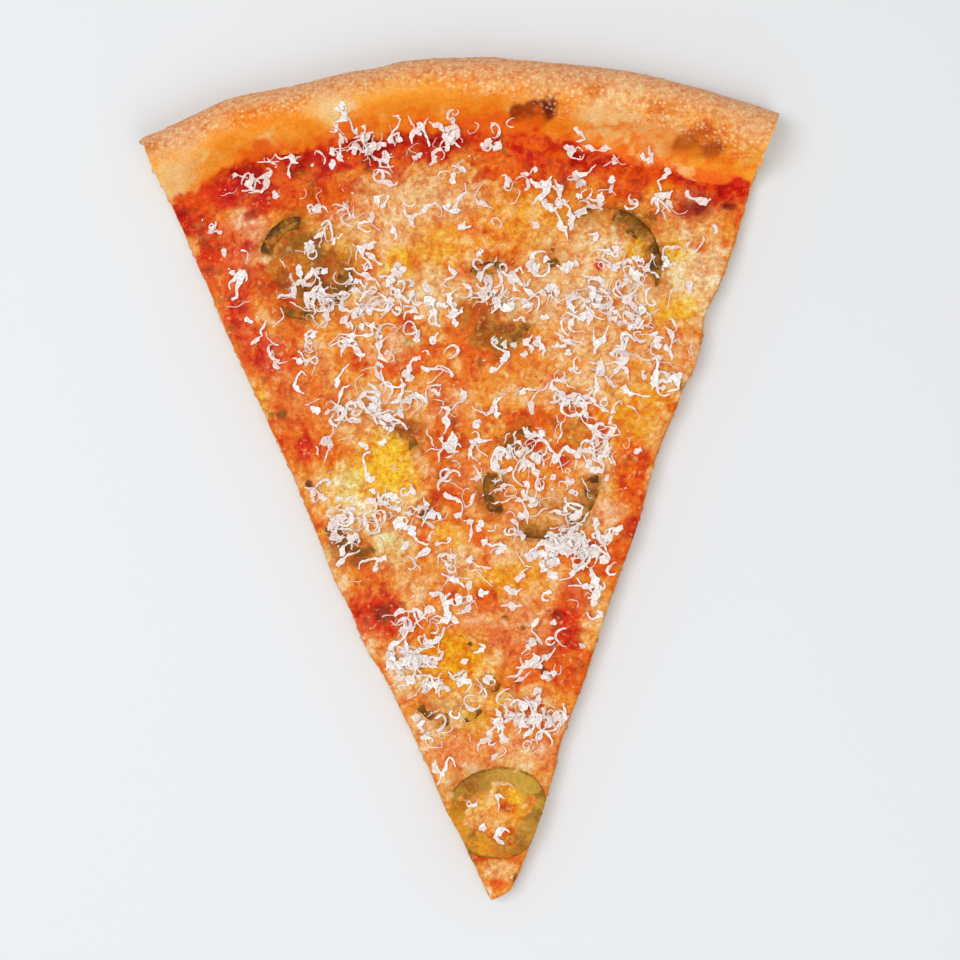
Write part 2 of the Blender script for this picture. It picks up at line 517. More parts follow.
def sheetGrid(counts):
    # rows of points with counts[i] cells each; a row has
    # as many cells as the one before it, or twice as many
    counts = np.array(counts)
    starts = np.concatenate([[0], np.cumsum(counts + 1)])
    rowOf = np.repeat(np.arange(len(counts)), counts + 1)
    column = np.arange(starts[-1]) - starts[rowOf]
    faces = []
    for row in range(len(counts) - 1):
        near, far = starts[row] + np.arange(counts[row]), starts[row + 1] + np.arange(counts[row])
        if counts[row + 1] == counts[row]:
            faces += np.stack([near, near + 1, far + 1, far], axis=1).tolist()
        else:
            far = starts[row + 1] + 2 * np.arange(counts[row])
            faces += np.stack([near, near + 1, far + 2, far + 1, far], axis=1).tolist()
    return rowOf, 2.0 * column / counts[rowOf] - 1.0, starts, faces


def closeSheet(points, starts, faces, bottomOf, levels):
    # walls a sheet in all round, down to bottomOf(its
    # outline), and closes it below in strips from side to side
    lefts, rights = starts[:-1], starts[1:] - 1
    front, back = np.arange(lefts[0], rights[0]), np.arange(rights[-1], lefts[-1], -1)
    loop = np.concatenate([front, rights[:-1], back, lefts[:0:-1]])
    top = points[loop]
    bottom = bottomOf(top)
    rings, stacked = [loop], [points]
    for level in range(1, levels + 1):
        rings.append(len(points) + (level - 1) * len(loop) + np.arange(len(loop)))
        stacked.append(top + (bottom - top) * level / levels)
    for upper, lower in zip(rings, rings[1:]):
        faces += np.stack([upper, lower, np.roll(lower, -1), np.roll(upper, -1)], axis=1).tolist()
    at = {place: lower for place, lower in zip(loop.tolist(), rings[-1].tolist())}
    cuts = list(range(0, len(lefts) - 1, 8)) + [len(lefts) - 1]
    for first, last in zip(cuts, cuts[1:]):
        strip = [at[i] for i in lefts[first:last + 1]]
        if last == cuts[-1]:
            strip += [at[i] for i in range(lefts[-1] + 1, rights[-1])]
        strip += [at[i] for i in rights[last:first - 1 if first else None:-1]]
        if first == 0:
            strip += [at[i] for i in range(rights[0] - 1, lefts[0], -1)]
        faces.append(strip)
    return np.concatenate(stacked), faces


def weld(points, faces, *values):
    # points closer than 0.1 micron become one; what they carry is averaged
    _, first, place = np.unique(np.round(points, 4), axis=0, return_index=True, return_inverse=True)
    place = place.ravel()
    many = np.bincount(place)
    joined = [[int(place[i]) for i in face] for face in faces]
    return points[first], joined, *[np.bincount(place, value) / many for value in values]


def surfaceNormals(points, quads):
    # sum of the crossed diagonals of the quads round each point, made one long
    a, b, c, d = (points[quads[:, i]] for i in range(4))
    across = np.cross(c - a, d - b)
    normals = np.zeros_like(points)
    for i in range(4):
        for axis in range(3):
            normals[:, axis] += np.bincount(quads[:, i], across[:, axis], len(points))
    return normals / np.maximum(np.linalg.norm(normals, axis=1, keepdims=True), 1e-12)


def makePiece(name, points, faces, materials, colours=None, finish=None, sharp=None, faceMaterials=None):
    # puts points in mm, faces and point colours into a mesh in metres, which rides on the whole slice
    mesh = bpy.data.meshes.new(name)
    mesh.from_pydata(points * mm, [], faces)
    for material in materials:
        mesh.materials.append(material)
    if faceMaterials is not None:
        mesh.polygons.foreach_set("material_index", faceMaterials)
    for title, values in (("tone", colours), ("finish", finish)):
        if values is not None:
            values = toLinear(values) if title == "tone" else values
            layer = mesh.color_attributes.new(title, "FLOAT_COLOR", "POINT")
            layer.data.foreach_set("color", np.column_stack([values, np.ones(len(values))]).ravel())
    mesh.shade_smooth()
    if sharp is not None:
        mesh.set_sharp_from_angle(angle=math.radians(sharp))
    mesh.update()
    made = bpy.data.objects.new(name, mesh)
    bpy.context.scene.collection.objects.link(made)
    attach(made, "root")
    print(f"{name}: {len(points)} points, {sum(len(face) - 2 for face in faces)} triangles")
    return made


def newMaterial(name, **sockets):
    # a Principled surface; values that are the same all over stay on its own sockets
    material = bpy.data.materials.new(name)
    material.use_nodes = True
    shader = material.node_tree.nodes["Principled BSDF"]
    for socket, value in sockets.items():
        shader.inputs[socket.replace("_", " ")].default_value = value
    return material, material.node_tree, shader


def addNode(tree, kind, inputs, stops=None, **settings):
    # a node with its settings; each input is a value, or the output that it is linked from
    made = tree.nodes.new("ShaderNode" + kind)
    for key, value in settings.items():
        setattr(made, key, value)
    for key, value in inputs.items():
        if isinstance(value, bpy.types.NodeSocket):
            tree.links.new(value, made.inputs[key])
        else:
            made.inputs[key].default_value = value
    if stops is not None:
        ramp = made.color_ramp
        ramp.elements[0].position, ramp.elements[1].position = stops[0][0], stops[-1][0]
        ramp.elements[0].color = ramp.elements[-1].color = (0, 0, 0, 1)
        for position, _ in stops[1:-1]:
            ramp.elements.new(position)
        for element, (_, value) in zip(ramp.elements, stops):
            element.color = (value, value, value, 1)
    return made


def perMetre(size):
    # texture scale for features `size` mm apart
    return 1.0 / (size * mm)


def bakedDough():
    # oven-baked wheat dough: dry, tan to brown, with pale
    # pin blisters that give the crust its fine freckles
    material, tree, shader = newMaterial("baked_dough", Roughness=0.65, Specular_IOR_Level=0.14)
    spot = addNode(tree, "TexCoord", {}).outputs["Object"]
    tone = addNode(tree, "Attribute", {}, attribute_name="tone").outputs["Color"]
    finish = addNode(tree, "Attribute", {}, attribute_name="finish").outputs["Vector"]
    blistered = addNode(tree, "SeparateXYZ", {0: finish}).outputs[0]
    small = freckles(tree, spot, 1.15, (0.20, 0.52), (0.05, 0.75))
    large = freckles(tree, spot, 2.1, (0.12, 0.38), (0.30, 0.85))
    dotted = addNode(tree, "Math", {0: small, 1: large}, operation="MAXIMUM").outputs[0]
    paleShare = addNode(tree, "Math", {0: dotted, 1: blistered}, operation="MULTIPLY").outputs[0]
    mottle = addNode(tree, "TexNoise", {"Vector": spot, "Scale": perMetre(1.7), "Detail": 4.0}).outputs["Fac"]
    mottleShare = addNode(tree, "MapRange", {0: mottle, 1: 0.40, 2: 0.66, 3: 0.0, 4: 0.7}).outputs[0]
    brownShare = addNode(tree, "Math", {0: mottleShare, 1: blistered}, operation="MULTIPLY").outputs[0]
    browned = addNode(tree, "Mix", {0: brownShare, 6: tone, 7: shaderColour("ec9868")}, data_type="RGBA",
                      blend_type="MULTIPLY").outputs[2]
    dots = {0: paleShare, 6: browned, 7: shaderColour("fbd6a2")}
    mixed = addNode(tree, "Mix", dots, data_type="RGBA").outputs[2]
    grain = addNode(tree, "TexNoise", {"Vector": spot, "Scale": perMetre(0.7), "Detail": 4.0}).outputs["Fac"]
    shade = addNode(tree, "MapRange", {0: grain, 1: 0.3, 2: 0.7, 3: 0.86, 4: 1.10}).outputs[0]
    shaded = addNode(tree, "VectorMath", {0: mixed, "Scale": shade}, operation="SCALE").outputs[0]
    tree.links.new(shaded, shader.inputs["Base Color"])
    height = addNode(tree, "Math", {0: dotted, 1: blistered, 2: grain}, operation="MULTIPLY_ADD").outputs[0]
    bump = addNode(tree, "Bump", {"Height": height, "Strength": 0.35, "Distance": 0.2 * mm}).outputs[0]
    tree.links.new(bump, shader.inputs["Normal"])
    return material


def freckles(tree, spot, size, dome, chosen):
    # soft dots `size` mm apart: how near the middle of its
    # cell a place lies, kept in some of the cells only
    cells = addNode(tree, "TexVoronoi", {"Vector": spot, "Scale": perMetre(size), "Randomness": 0.95}).outputs
    reach = {0: cells["Distance"], 1: dome[0], 2: dome[1], 3: 1.0, 4: 0.0}
    near = addNode(tree, "MapRange", reach).outputs[0]
    pick = addNode(tree, "SeparateColor", {0: cells["Color"]}).outputs[0]
    kept = addNode(tree, "MapRange", {0: pick, 1: chosen[0], 2: chosen[1], 3: 0.0, 4: 0.7}).outputs[0]
    return addNode(tree, "Math", {0: near, 1: kept}, operation="MULTIPLY").outputs[0]


def ovenFloorCrust():
    # the underside, baked on stone: tan with brown spots where the dough touched it
    material, tree, shader = newMaterial("oven_floor_crust", Roughness=0.75)
    spot = addNode(tree, "TexCoord", {}).outputs["Object"]
    settings = {"Vector": spot, "Scale": perMetre(16), "Detail": 5.0, "Roughness": 0.6}
    large = addNode(tree, "TexNoise", settings)
    ramp = addNode(tree, "ValToRGB", {0: large.outputs["Fac"]}, stops=((0.36, 0.0), (0.64, 1.0))).outputs[0]
    tanToBrown = {0: ramp, 6: shaderColour("e2b071"), 7: shaderColour("8a4a1e")}
    brown = addNode(tree, "Mix", tanToBrown, data_type="RGBA")
    tree.links.new(brown.outputs[2], shader.inputs["Base Color"])
    return material


def mottledFood(name, roughness, grainSize, contrast, flecks, bumpHeight, **sockets):
    # the surface that sauce, cheese and pepper share: the piece's own colours,
    # whose red, green and blue fine noise swings by `contrast`, with flecks of
    # other colours, rougher where the noise is high and its grain as relief
    material, tree, shader = newMaterial(name, **sockets)
    spot = addNode(tree, "TexCoord", {}).outputs["Object"]
    tone = addNode(tree, "Attribute", {}, attribute_name="tone").outputs["Color"]
    settings = {"Vector": spot, "Detail": 5.0, "Roughness": 0.62, "Distortion": 0.6}
    grain = addNode(tree, "TexNoise", {**settings, "Scale": perMetre(grainSize)}).outputs["Fac"]
    darker, lighter = (tuple(1.0 + way * swing for swing in contrast) for way in (-1.0, 1.1))
    swings = {6: grain, 7: (0.32, 0.32, 0.32), 8: (0.68, 0.68, 0.68), 9: darker, 10: lighter}
    shade = addNode(tree, "MapRange", swings, data_type="FLOAT_VECTOR").outputs[1]
    shaded = addNode(tree, "VectorMath", {0: tone, 1: shade}, operation="MULTIPLY").outputs[0]
    for size, least, share, colour in flecks:
        settings = {"Vector": spot, "Scale": perMetre(size), "Detail": 3.0}
        fleck = addNode(tree, "TexNoise", settings).outputs["Fac"]
        amount = addNode(tree, "MapRange", {0: fleck, 1: least, 2: least + 0.07, 3: 0.0, 4: share}).outputs[0]
        mixed = {0: amount, 6: shaded, 7: shaderColour(colour)}
        shaded = addNode(tree, "Mix", mixed, data_type="RGBA").outputs[2]
    tree.links.new(shaded, shader.inputs["Base Color"])
    low, high = roughness
    wet = addNode(tree, "MapRange", {0: grain, 1: 0.35, 2: 0.65, 3: low, 4: high}).outputs[0]
    tree.links.new(wet, shader.inputs["Roughness"])
    bump = addNode(tree, "Bump", {"Height": grain, "Strength": 0.4, "Distance": bumpHeight * mm}).outputs[0]
    tree.links.new(bump, shader.inputs["Normal"])
    return material


def tomatoSauce():
    # cooked tomato sauce: moist and deep red, with pulp that gives it small bright and dark lumps
    flecks = ((1.6, 0.60, 0.5, "ea6414"), (1.1, 0.62, 0.5, "700c08"), (0.5, 0.68, 0.6, "fbc8a0"))
    contrast = (0.14, 0.3, 0.4)
    return mottledFood("tomato_sauce", (0.35, 0.6), 1.2, contrast, flecks, 0.3, Specular_IOR_Level=0.1)


def meltedCheese():
    # baked mozzarella: oily and smooth, mottled from cream to orange, with specks of browned milk solids
    flecks = ((2.2, 0.60, 0.4, "d84806"), (1.5, 0.61, 0.3, "f8d896"), (0.8, 0.64, 0.5, "84340e"),
              (0.5, 0.68, 0.4, "fdf0da"))
    contrast = (0.07, 0.4, 0.7)
    return mottledFood("melted_cheese", (0.22, 0.5), 1.0, contrast, flecks, 0.3, Specular_IOR_Level=0.08)


def cookedPepper():
    # pickled green pepper cooked soft: moist waxy flesh, olive to amber, with fine pale and brown streaks
    flecks = ((1.8, 0.58, 0.4, "d89a34"), (1.0, 0.62, 0.4, "5a3408"), (0.5, 0.66, 0.4, "f0cc80"))
    contrast = (0.14, 0.22, 0.4)
    return mottledFood("green_pepper", (0.3, 0.5), 1.3, contrast, flecks, 0.25, Specular_IOR_Level=0.09)


def gratedHardCheese():
    # aged hard cheese off a grater: dry and chalky, so thin
    # that what lies under a shred shows through in places
    material, tree, shader = newMaterial("grated_hard_cheese", Roughness=0.55, Specular_IOR_Level=0.3)
    spot = addNode(tree, "TexCoord", {}).outputs["Object"]
    tone = addNode(tree, "Attribute", {}, attribute_name="tone").outputs["Color"]
    chalk = addNode(tree, "TexNoise", {"Vector": spot, "Scale": perMetre(0.8), "Detail": 2.0}).outputs["Fac"]
    shade = addNode(tree, "MapRange", {0: chalk, 1: 0.3, 2: 0.7, 3: 0.92, 4: 1.04}).outputs[0]
    shaded = addNode(tree, "VectorMath", {0: tone, "Scale": shade}, operation="SCALE").outputs[0]
    tree.links.new(shaded, shader.inputs["Base Color"])
    solid = addNode(tree, "MapRange", {0: chalk, 1: 0.34, 2: 0.6, 3: 0.6, 4: 0.96}).outputs[0]
    tree.links.new(solid, shader.inputs["Alpha"])
    return material


doughMesh = {
    "skinStart": 26.5,  # the finely divided skin begins this far in from the outside
    "skinColumns": 400,
    "slopeRows": 44,
    "crownRows": 34,
    "tuckRows": 14,
    "wallStep": 0.45,
    "wallLevels": 10,
    "tipColumns": 22,
    "capRings": 24,
    "capBottom": 40,
    "capMiddle": (11.5, 4.2),  # in from the outside and up: the cut end's rings close round it
}
doughRelief = {
    "swell": 0.45, "swellSize": 14.0,  # mm
    "wrinkle": 0.16, "wrinkleSize": 4.0,
    "blister": 0.14, "blisterSize": 1.9,
    "pore": 0.5, "poreSize": 2.6,  # holes in the crumb where it is cut
    "finePore": 0.25, "finePoreSize": 1.1,
    "crumbGrain": 0.12, "crumbGrainSize": 1.6,
    "hole": 1.6, "holeSize": 6.5,  # the rim's large bubbles
}
rimColours = (
    # distance in from the rim's outside in mm, colour
    (-3, "d89e68"), (0, "e6b07e"), (3, "ecb07a"), (6, "f0ae6c"), (9, "f2a856"), (12, "f6a644"),
    (15, "f89e34"), (18, "f68c1e"), (22, "f07414"), (26, "e05410"),
)
crustShares = {
    # how strongly each colour is mixed in
    "cream": 0.7, "orange": 0.6, "stain": 0.68, "flame": 0.48, "hollow": 0.7, "soaked": 0.8, "charred": 0.9,
}
crumbColours = {
    "crumb": "ecbc7e", "pale": "f4d6a4", "hollow": "d08a48", "soaked": "e8843a", "crust": "d07c38",
    "charred": "9c5522",
}
crustColours = {
    "tan": "ecb478", "cream": "f4cc90", "orange": "f2840f", "gold": "f6a42c", "rust": "d2640e",
    "brown": "a23e02", "umber": "5e1400", "stain": "f0660a", "flame": "e24e06",
}
rimDabs = (
    # x, y, half width, half height, colour, strength
    (-55, 102, 8, 3.5, "orange", 0.85), (-12, 104, 10, 3, "orange", 0.8), (6, 102.5, 9, 3.5, "orange", 0.8),
    (26, 98.5, 6, 4, "orange", 0.75), (50, 84.5, 11, 4, "orange", 0.7), (70, 86, 11, 4, "gold", 0.75),
    (-78, 92, 6, 6, "tan", 0.6), (-81, 85, 5, 4, "gold", 0.8), (80, 84, 4, 5, "gold", 0.7),
    (-34, 104.5, 6, 3, "tan", 0.85), (46.5, 105.5, 5, 3, "cream", 0.8), (41, 97.5, 9, 6, "cream", 0.8),
    (55, 92, 6, 5.5, "tan", 0.7), (-15, 108, 16, 4, "gold", 0.4), (14, 98.5, 7, 2.5, "flame", 0.35),
    (16, 100.5, 2.2, 1.8, "umber", 0.95), (20, 102, 3, 1.6, "umber", 0.95),
    (20.5, 100.5, 5, 2.4, "brown", 0.9), (24.5, 101.5, 2.2, 2.6, "umber", 0.9),
    (21, 98.4, 3, 1.4, "rust", 0.8), (37, 105, 2.6, 2, "rust", 0.5), (54.5, 99.5, 3.4, 2.2, "rust", 0.6),
    (66, 90.5, 8, 4.5, "rust", 0.75), (62.5, 90.5, 3.4, 2, "brown", 0.6), (69.5, 88, 3.6, 2.2, "brown", 0.7),
    (68, 92.5, 2.4, 1.4, "brown", 0.4), (-64, 95, 8, 4, "orange", 0.8), (-44, 103, 7, 4, "orange", 0.6),
    (-36, 104, 7, 3.5, "cream", 0.7), (-81, 84, 7, 7, "cream", 0.8), (80, 92, 5, 5, "tan", 0.7),
    (-87, 96.5, 3, 1.4, "rust", 0.8), (7, 99, 5, 3, "gold", 0.5), (-77, 81, 1.4, 1.2, "brown", 0.7),
    (-80, 78, 4, 4, "tan", 0.6), (81, 79, 4, 4, "gold", 0.6), (60, 85, 8, 1.5, "gold", 0.6),
    (-57, 109, 7, 2, "tan", 0.5), (22, 107, 5, 3, "tan", 0.5),
)


def rimProfile(across):
    # rows of points up the rim's inner slope, over its
    # crown, down the outside and under, as radius and height
    rimAngle = wedgeAngle(wedge["rimShare"] * wedge["radius"], across, 0.0)
    outside = rimRadius(rimAngle)
    inward = np.linspace(doughMesh["skinStart"], dough["crownInward"], doughMesh["slopeRows"] + 1)[:, None]
    slopeRadius = outside - inward
    slope = (slopeRadius, doughHeight(slopeRadius, wedgeAngle(slopeRadius, across, 0.0)))
    crown = dough["rimHeight"] + waves(dough["heightWaves"], rimAngle)
    turn = np.linspace(0.0, math.pi / 2, doughMesh["crownRows"] + 1)[1:, None]
    over = (outside - dough["crownInward"] * (1.0 - np.sin(turn)),
            dough["bulgeHeight"] + (crown - dough["bulgeHeight"]) * np.cos(turn))
    turn = np.linspace(0.0, math.pi / 2, doughMesh["tuckRows"] + 1)[1:, None]
    under = (outside - dough["tuck"] * (1.0 - np.cos(turn)),
             dough["bulgeHeight"] * (1.0 - np.sin(turn)) * np.ones_like(across))
    radius, height = (np.concatenate([slope[i], over[i], under[i]]) for i in range(2))
    flare = wedge["cutFlare"] * np.clip(1.0 - height / dough["bulgeHeight"], 0.0, 1.0)
    flare[:doughMesh["slopeRows"] + doughMesh["crownRows"]] = 0.0
    return pointAt(radius, wedgeAngle(radius, across, flare), height)


def gridFaces(rows, columns, start, flip=False):
    # quads of a grid of rows x columns points numbered from `start`
    first = start + np.arange(rows - 1)[:, None] * columns + np.arange(columns - 1)[None, :]
    quads = np.stack([first, first + 1, first + columns + 1, first + columns], axis=-1).reshape(-1, 4)
    return quads[:, ::-1] if flip else quads


def closedFaces(rows, columns, start):
    # quads between closed rings of points, where the last column joins the first, and the innermost ring
    ring = start + np.arange(rows)[:, None] * columns + np.arange(columns + 1)[None, :] % columns
    corners = [ring[:-1, :-1], ring[:-1, 1:], ring[1:, 1:], ring[1:, :-1]]
    return np.stack(corners, axis=-1).reshape(-1, 4), ring[-1, :-1]


def cutWall(side, junction):
    # a cut side of the base: stations from the tip to the
    # rim's junction, levels from the top edge to the bottom
    tip = float(tipRadius(np.array(float(side))))
    stations = int((junction - tip) / doughMesh["wallStep"])
    radius = np.linspace(tip, junction, stations + 1)[:, None]
    level = np.linspace(0.0, 1.0, doughMesh["wallLevels"] + 1)[None, :]
    angle = wedgeAngle(radius, float(side), wedge["cutFlare"] * level)
    return pointAt(radius * np.ones_like(level), angle, baseHeight(radius) * (1.0 - level))


def cutEnd(side, skinColumn, junctionColumn):
    # the rim's cut end: its outline, repeated in rings that shrink towards a point inside it
    share = np.linspace(0.0, 1.0, doughMesh["capBottom"] + 1)[1:-1, None]
    bottom = skinColumn[-1] + share * (junctionColumn[-1] - skinColumn[-1])
    loop = np.concatenate([skinColumn, bottom, junctionColumn[:0:-1]])
    inward, up = doughMesh["capMiddle"]
    radius, _ = polarOf(skinColumn[None, doughMesh["slopeRows"] + doughMesh["crownRows"]])
    radius = radius - inward
    middle = pointAt(radius, wedgeAngle(radius, float(side), 0.5 * wedge["cutFlare"]), up)[0]
    shrink = np.linspace(1.0, 0.06, doughMesh["capRings"])[:, None, None]
    return middle + (loop - middle) * shrink


def bluntTip(levels):
    # the cut across the tip: stations from the left side to the right, levels from the top to the bottom
    across = np.linspace(-1.0, 1.0, doughMesh["tipColumns"] + 1)[:, None]
    level = np.linspace(0.0, 1.0, levels)[None, :]
    radius = tipRadius(across) * np.ones_like(level)
    angle = wedgeAngle(radius, across, wedge["cutFlare"] * level)
    return pointAt(radius, angle, baseHeight(radius) * (1.0 - level))


def makeDough(materials):
    # one closed skin: fine on the rim and the cut sides, in wide strips where sauce or table hide it
    across = np.linspace(-1.0, 1.0, doughMesh["skinColumns"] + 1)[None, :]
    skin = rimProfile(across)
    rows, columns = skin.shape[:2]
    patches, quads, total = [skin.reshape(-1, 3)], [gridFaces(rows, columns, 0)], rows * columns
    coarse, under = [], []
    openCut = [np.zeros(total)]
    walls = {}
    for side, column in ((-1, 0), (1, columns - 1)):
        wall = cutWall(side, float(polarOf(skin[0, column][None])[0][0]))
        stations, levels = wall.shape[:2]
        walls[side] = (total, stations, levels)
        patches.append(wall.reshape(-1, 3))
        openCut.append(np.ones(stations * levels))
        quads.append(gridFaces(stations, levels, total, flip=side > 0))
        total += stations * levels
        rings = cutEnd(side, skin[:, column], wall[-1])
        patches.append(rings.reshape(-1, 3))
        openCut.append(np.ones(rings.shape[0] * rings.shape[1]))
        ringQuads, hub = closedFaces(*rings.shape[:2], total)
        quads.append(ringQuads[:, ::-1] if side < 0 else ringQuads)
        coarse.append(hub[::-1].tolist() if side < 0 else hub.tolist())
        walls[side] += (total + rows - 1 + np.arange(doughMesh["capBottom"] + 1),)
        total += rings.shape[0] * rings.shape[1]
    leftStart, leftStations, levels, leftBottom = walls[-1]
    rightStart, rightStations, _, rightBottom = walls[1]
    tip = bluntTip(levels)
    patches.append(tip.reshape(-1, 3))
    openCut.append(np.ones(tip.shape[0] * levels))
    quads.append(gridFaces(tip.shape[0], levels, total, flip=True))
    tipTop, tipBottom = (total + np.arange(tip.shape[0]) * levels + i for i in (0, levels - 1))
    # wide strips over the base and under everything
    count = max(leftStations, rightStations)
    left = leftStart + np.round(np.linspace(0, leftStations - 1, count)).astype(int) * levels
    right = rightStart + np.round(np.linspace(0, rightStations - 1, count)).astype(int) * levels
    for offset, kept, order in ((0, coarse, 1), (levels - 1, under, -1)):
        strips = np.stack([left[1:-1], right[1:-1], right[2:], left[2:]], axis=1) + offset
        kept += strips[:, ::order].tolist()
        tipRow = (tipTop if order > 0 else tipBottom).tolist()
        kept.append((tipRow + [int(right[1] + offset), int(left[1] + offset)])[::order])
    coarse.append(list(range(columns)))
    strips = [leftBottom[1:], rightBottom[1:], rightBottom[:-1], leftBottom[:-1]]
    under += np.stack(strips, axis=1)[:, ::-1].tolist()
    under.append(list(range((rows - 1) * columns, rows * columns)))
    quads = np.concatenate(quads)
    faces = quads.tolist() + coarse + under
    points, faces, cut = weld(np.concatenate(patches), faces, np.concatenate(openCut))
    fine = np.array(faces[:len(quads)])
    kinds = np.zeros(len(faces), int)
    kinds[len(quads) + len(coarse):] = 1
    whole = [len(set(face)) > 2 for face in faces]
    grounded = points[:, 2] < 0.001
    normals = surfaceNormals(points, fine)
    shaped, blistered = doughShape(points, normals, cut)
    shaped[grounded, 2] = 0.0
    colours = doughTones(points, cut)
    finish = np.stack([blistered, cut, np.zeros(len(points))], axis=1)
    faces = [list(dict.fromkeys(face)) for face, kept in zip(faces, whole) if kept]
    made = makePiece("doughCrust", shaped, faces, materials, colours, finish, 50, kinds[whole])
    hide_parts("crust")


def doughShape(points, normals, cut):
    # the smooth form moved along its normals: swells, wrinkles
    # and blister domes on the skin, pores in the crumb
    relief = doughRelief
    blistered = blisterBand(points)
    skin = relief["swell"] * cloudNoise(points, relief["swellSize"], 2, 6)
    skin += relief["wrinkle"] * cloudNoise(points, relief["wrinkleSize"], 3, 7)
    distance, number = cellField(points, relief["blisterSize"], 8)
    skin += blistered * relief["blister"] * (number > 0.4) * (0.5 + number) * (1.0 - ease(distance / 0.95))
    crumb = -relief["crumbGrain"] * np.abs(cloudNoise(points, relief["crumbGrainSize"], 2, 9))
    for size, depth, seed, least in (("poreSize", "pore", 12, 0.45), ("finePoreSize", "finePore", 13, 0.35)):
        distance, number = cellField(points, relief[size], seed)
        reach = relief[size] * (0.25 + 0.35 * number)
        crumb -= relief[depth] * (number > least) * (1.0 - ease(distance / reach))
    distance, number = cellField(points, relief["holeSize"], 14)
    opened = (points[:, 2] > 3.5) * (rimInward(points) < 16.0) * (number > 0.35)
    crumb -= opened * relief["hole"] * (1.0 - ease(distance / (1.4 + 1.6 * number)))
    radius, angle = polarOf(points)
    skin *= ease((radius - sauceEdgeRadius(angle)) / 3.0)
    move = (1.0 - cut) * skin + cut * crumb
    shaped = points + normals * move[:, None]
    shaped[:, 2] = np.maximum(shaped[:, 2], 0.0)
    return shaped, blistered * (1.0 - cut)


def rimInward(points):
    # how far in from the rim's outside, in mm
    radius, angle = polarOf(points)
    return rimRadius(angle) - radius


def blisterBand(points):
    # 1 on the outer part of the rim's skin, where the oven's
    # heat raised fine blisters; wider towards the right
    width = 10.5 + 5.0 * ease(points[:, 0] / 60.0 + 0.5) + 2.5 * ease((points[:, 0] - 40.0) / 12.0)
    outer = ease((width - rimInward(points)) / 5.0 + 0.5 * cloudNoise(points, 9.0, 2, 5))
    return outer * ease((points[:, 2] - 2.0) / 6.0)


def doughTones(points, cut):
    # skin from tan outside to sauce-stained orange at the foot, and pale crumb with a browned bottom edge
    radius, angle = polarOf(points)
    inward = rimInward(points)
    height = points[:, 2]
    drift = 1.8 * cloudNoise(points, 12.0, 2, 21) + 1.6 * cloudNoise(points, 4.0, 3, 22)
    below = np.clip(dough["bulgeHeight"] - height, 0.0, 3.0) * (inward < 8.0)
    skin = alongStations(rimColours, inward + drift - below)
    folded = swirl(points, 5.0, 1.8, 30)
    blotch, small = cloudNoise(folded, 6.0, 3, 24), cloudNoise(folded, 1.8, 3, 25)
    slope = ease((inward - 5.0) / 6.0)
    creamy = crustShares["cream"] * slope * ease(1.9 * blotch + 0.8 * small - 0.1)
    oily = crustShares["orange"] * slope * ease(-1.7 * blotch + 0.9 * small - 0.1)
    skin = mixTo(mixTo(skin, crustColours["cream"], creamy), crustColours["orange"], oily)
    skin = skin * (1.0 + (0.09 * small * slope)[:, None] * (0.5, 1.2, 1.8))
    upper = np.where(height > 5.0, 1.0, 0.0)
    painted = paintDabs(skin, points, rimDabs, crustColours, 23)
    skin = mixTo(skin, painted, upper)
    past = radius - sauceEdgeRadius(angle)
    patchy = cloudNoise(points, 3.4, 3, 29)
    reach = past - 5.0 * cloudNoise(points, 10.0, 2, 32) + 6.0 * ease((np.abs(points[:, 0]) - 72.0) / 8.0)
    stained = ease((6.5 - reach) / 6.0 + 0.9 * patchy + 0.7 * small) * (inward > 7.0)
    skin = mixTo(skin, crustColours["stain"], crustShares["stain"] * stained)
    reddened = ease((2.2 - reach) / 3.0 + 1.1 * patchy + 0.9 * small) * (inward > 9.0)
    skin = mixTo(skin, crustColours["flame"], crustShares["flame"] * reddened)
    under = ease((1.8 - past) / 2.6 + 0.8 * patchy + 0.6 * small) * (inward > 9.0)
    skin = mixTo(skin, toppingTones(points), under)
    crumb = np.tile(srgb(crumbColours["crumb"]), (len(points), 1))
    crumb = mixTo(crumb, crumbColours["pale"], ease(0.5 + cloudNoise(points, 3.0, 3, 26)))
    distance, number = cellField(points, doughRelief["holeSize"], 14)
    hollow = (number > 0.35) * (inward < 16.0) * (1.0 - ease(distance / (1.2 + 1.4 * number)))
    crumb = mixTo(crumb, crumbColours["hollow"], crustShares["hollow"] * hollow)
    top = baseHeight(radius)
    soaked = ease((height - 0.5 * top) / (0.6 * top) + 0.4 * cloudNoise(points, 4.0, 2, 27)) * (inward > 18.0)
    crumb = mixTo(crumb, crumbColours["soaked"], crustShares["soaked"] * soaked)
    crust = ease((inward < 14.0) * (1.0 - ease((inward - 0.3) / 1.2)))
    crumb = mixTo(crumb, crumbColours["crust"], crust)
    charred = ease((height - 0.15) / (0.9 + 0.7 * cloudNoise(points, 3.0, 2, 28)))
    crumb = mixTo(crumb, crumbColours["charred"], crustShares["charred"] * (1.0 - charred))
    return mixTo(skin, crumb, cut)


sauceMesh = {
    "fineBand": 30.0, "rows": 60, "columns": 336, "coarseRows": 30,
    "lump": 0.24, "pulp": 0.16, "edgeDip": 0.25,  # mm
}


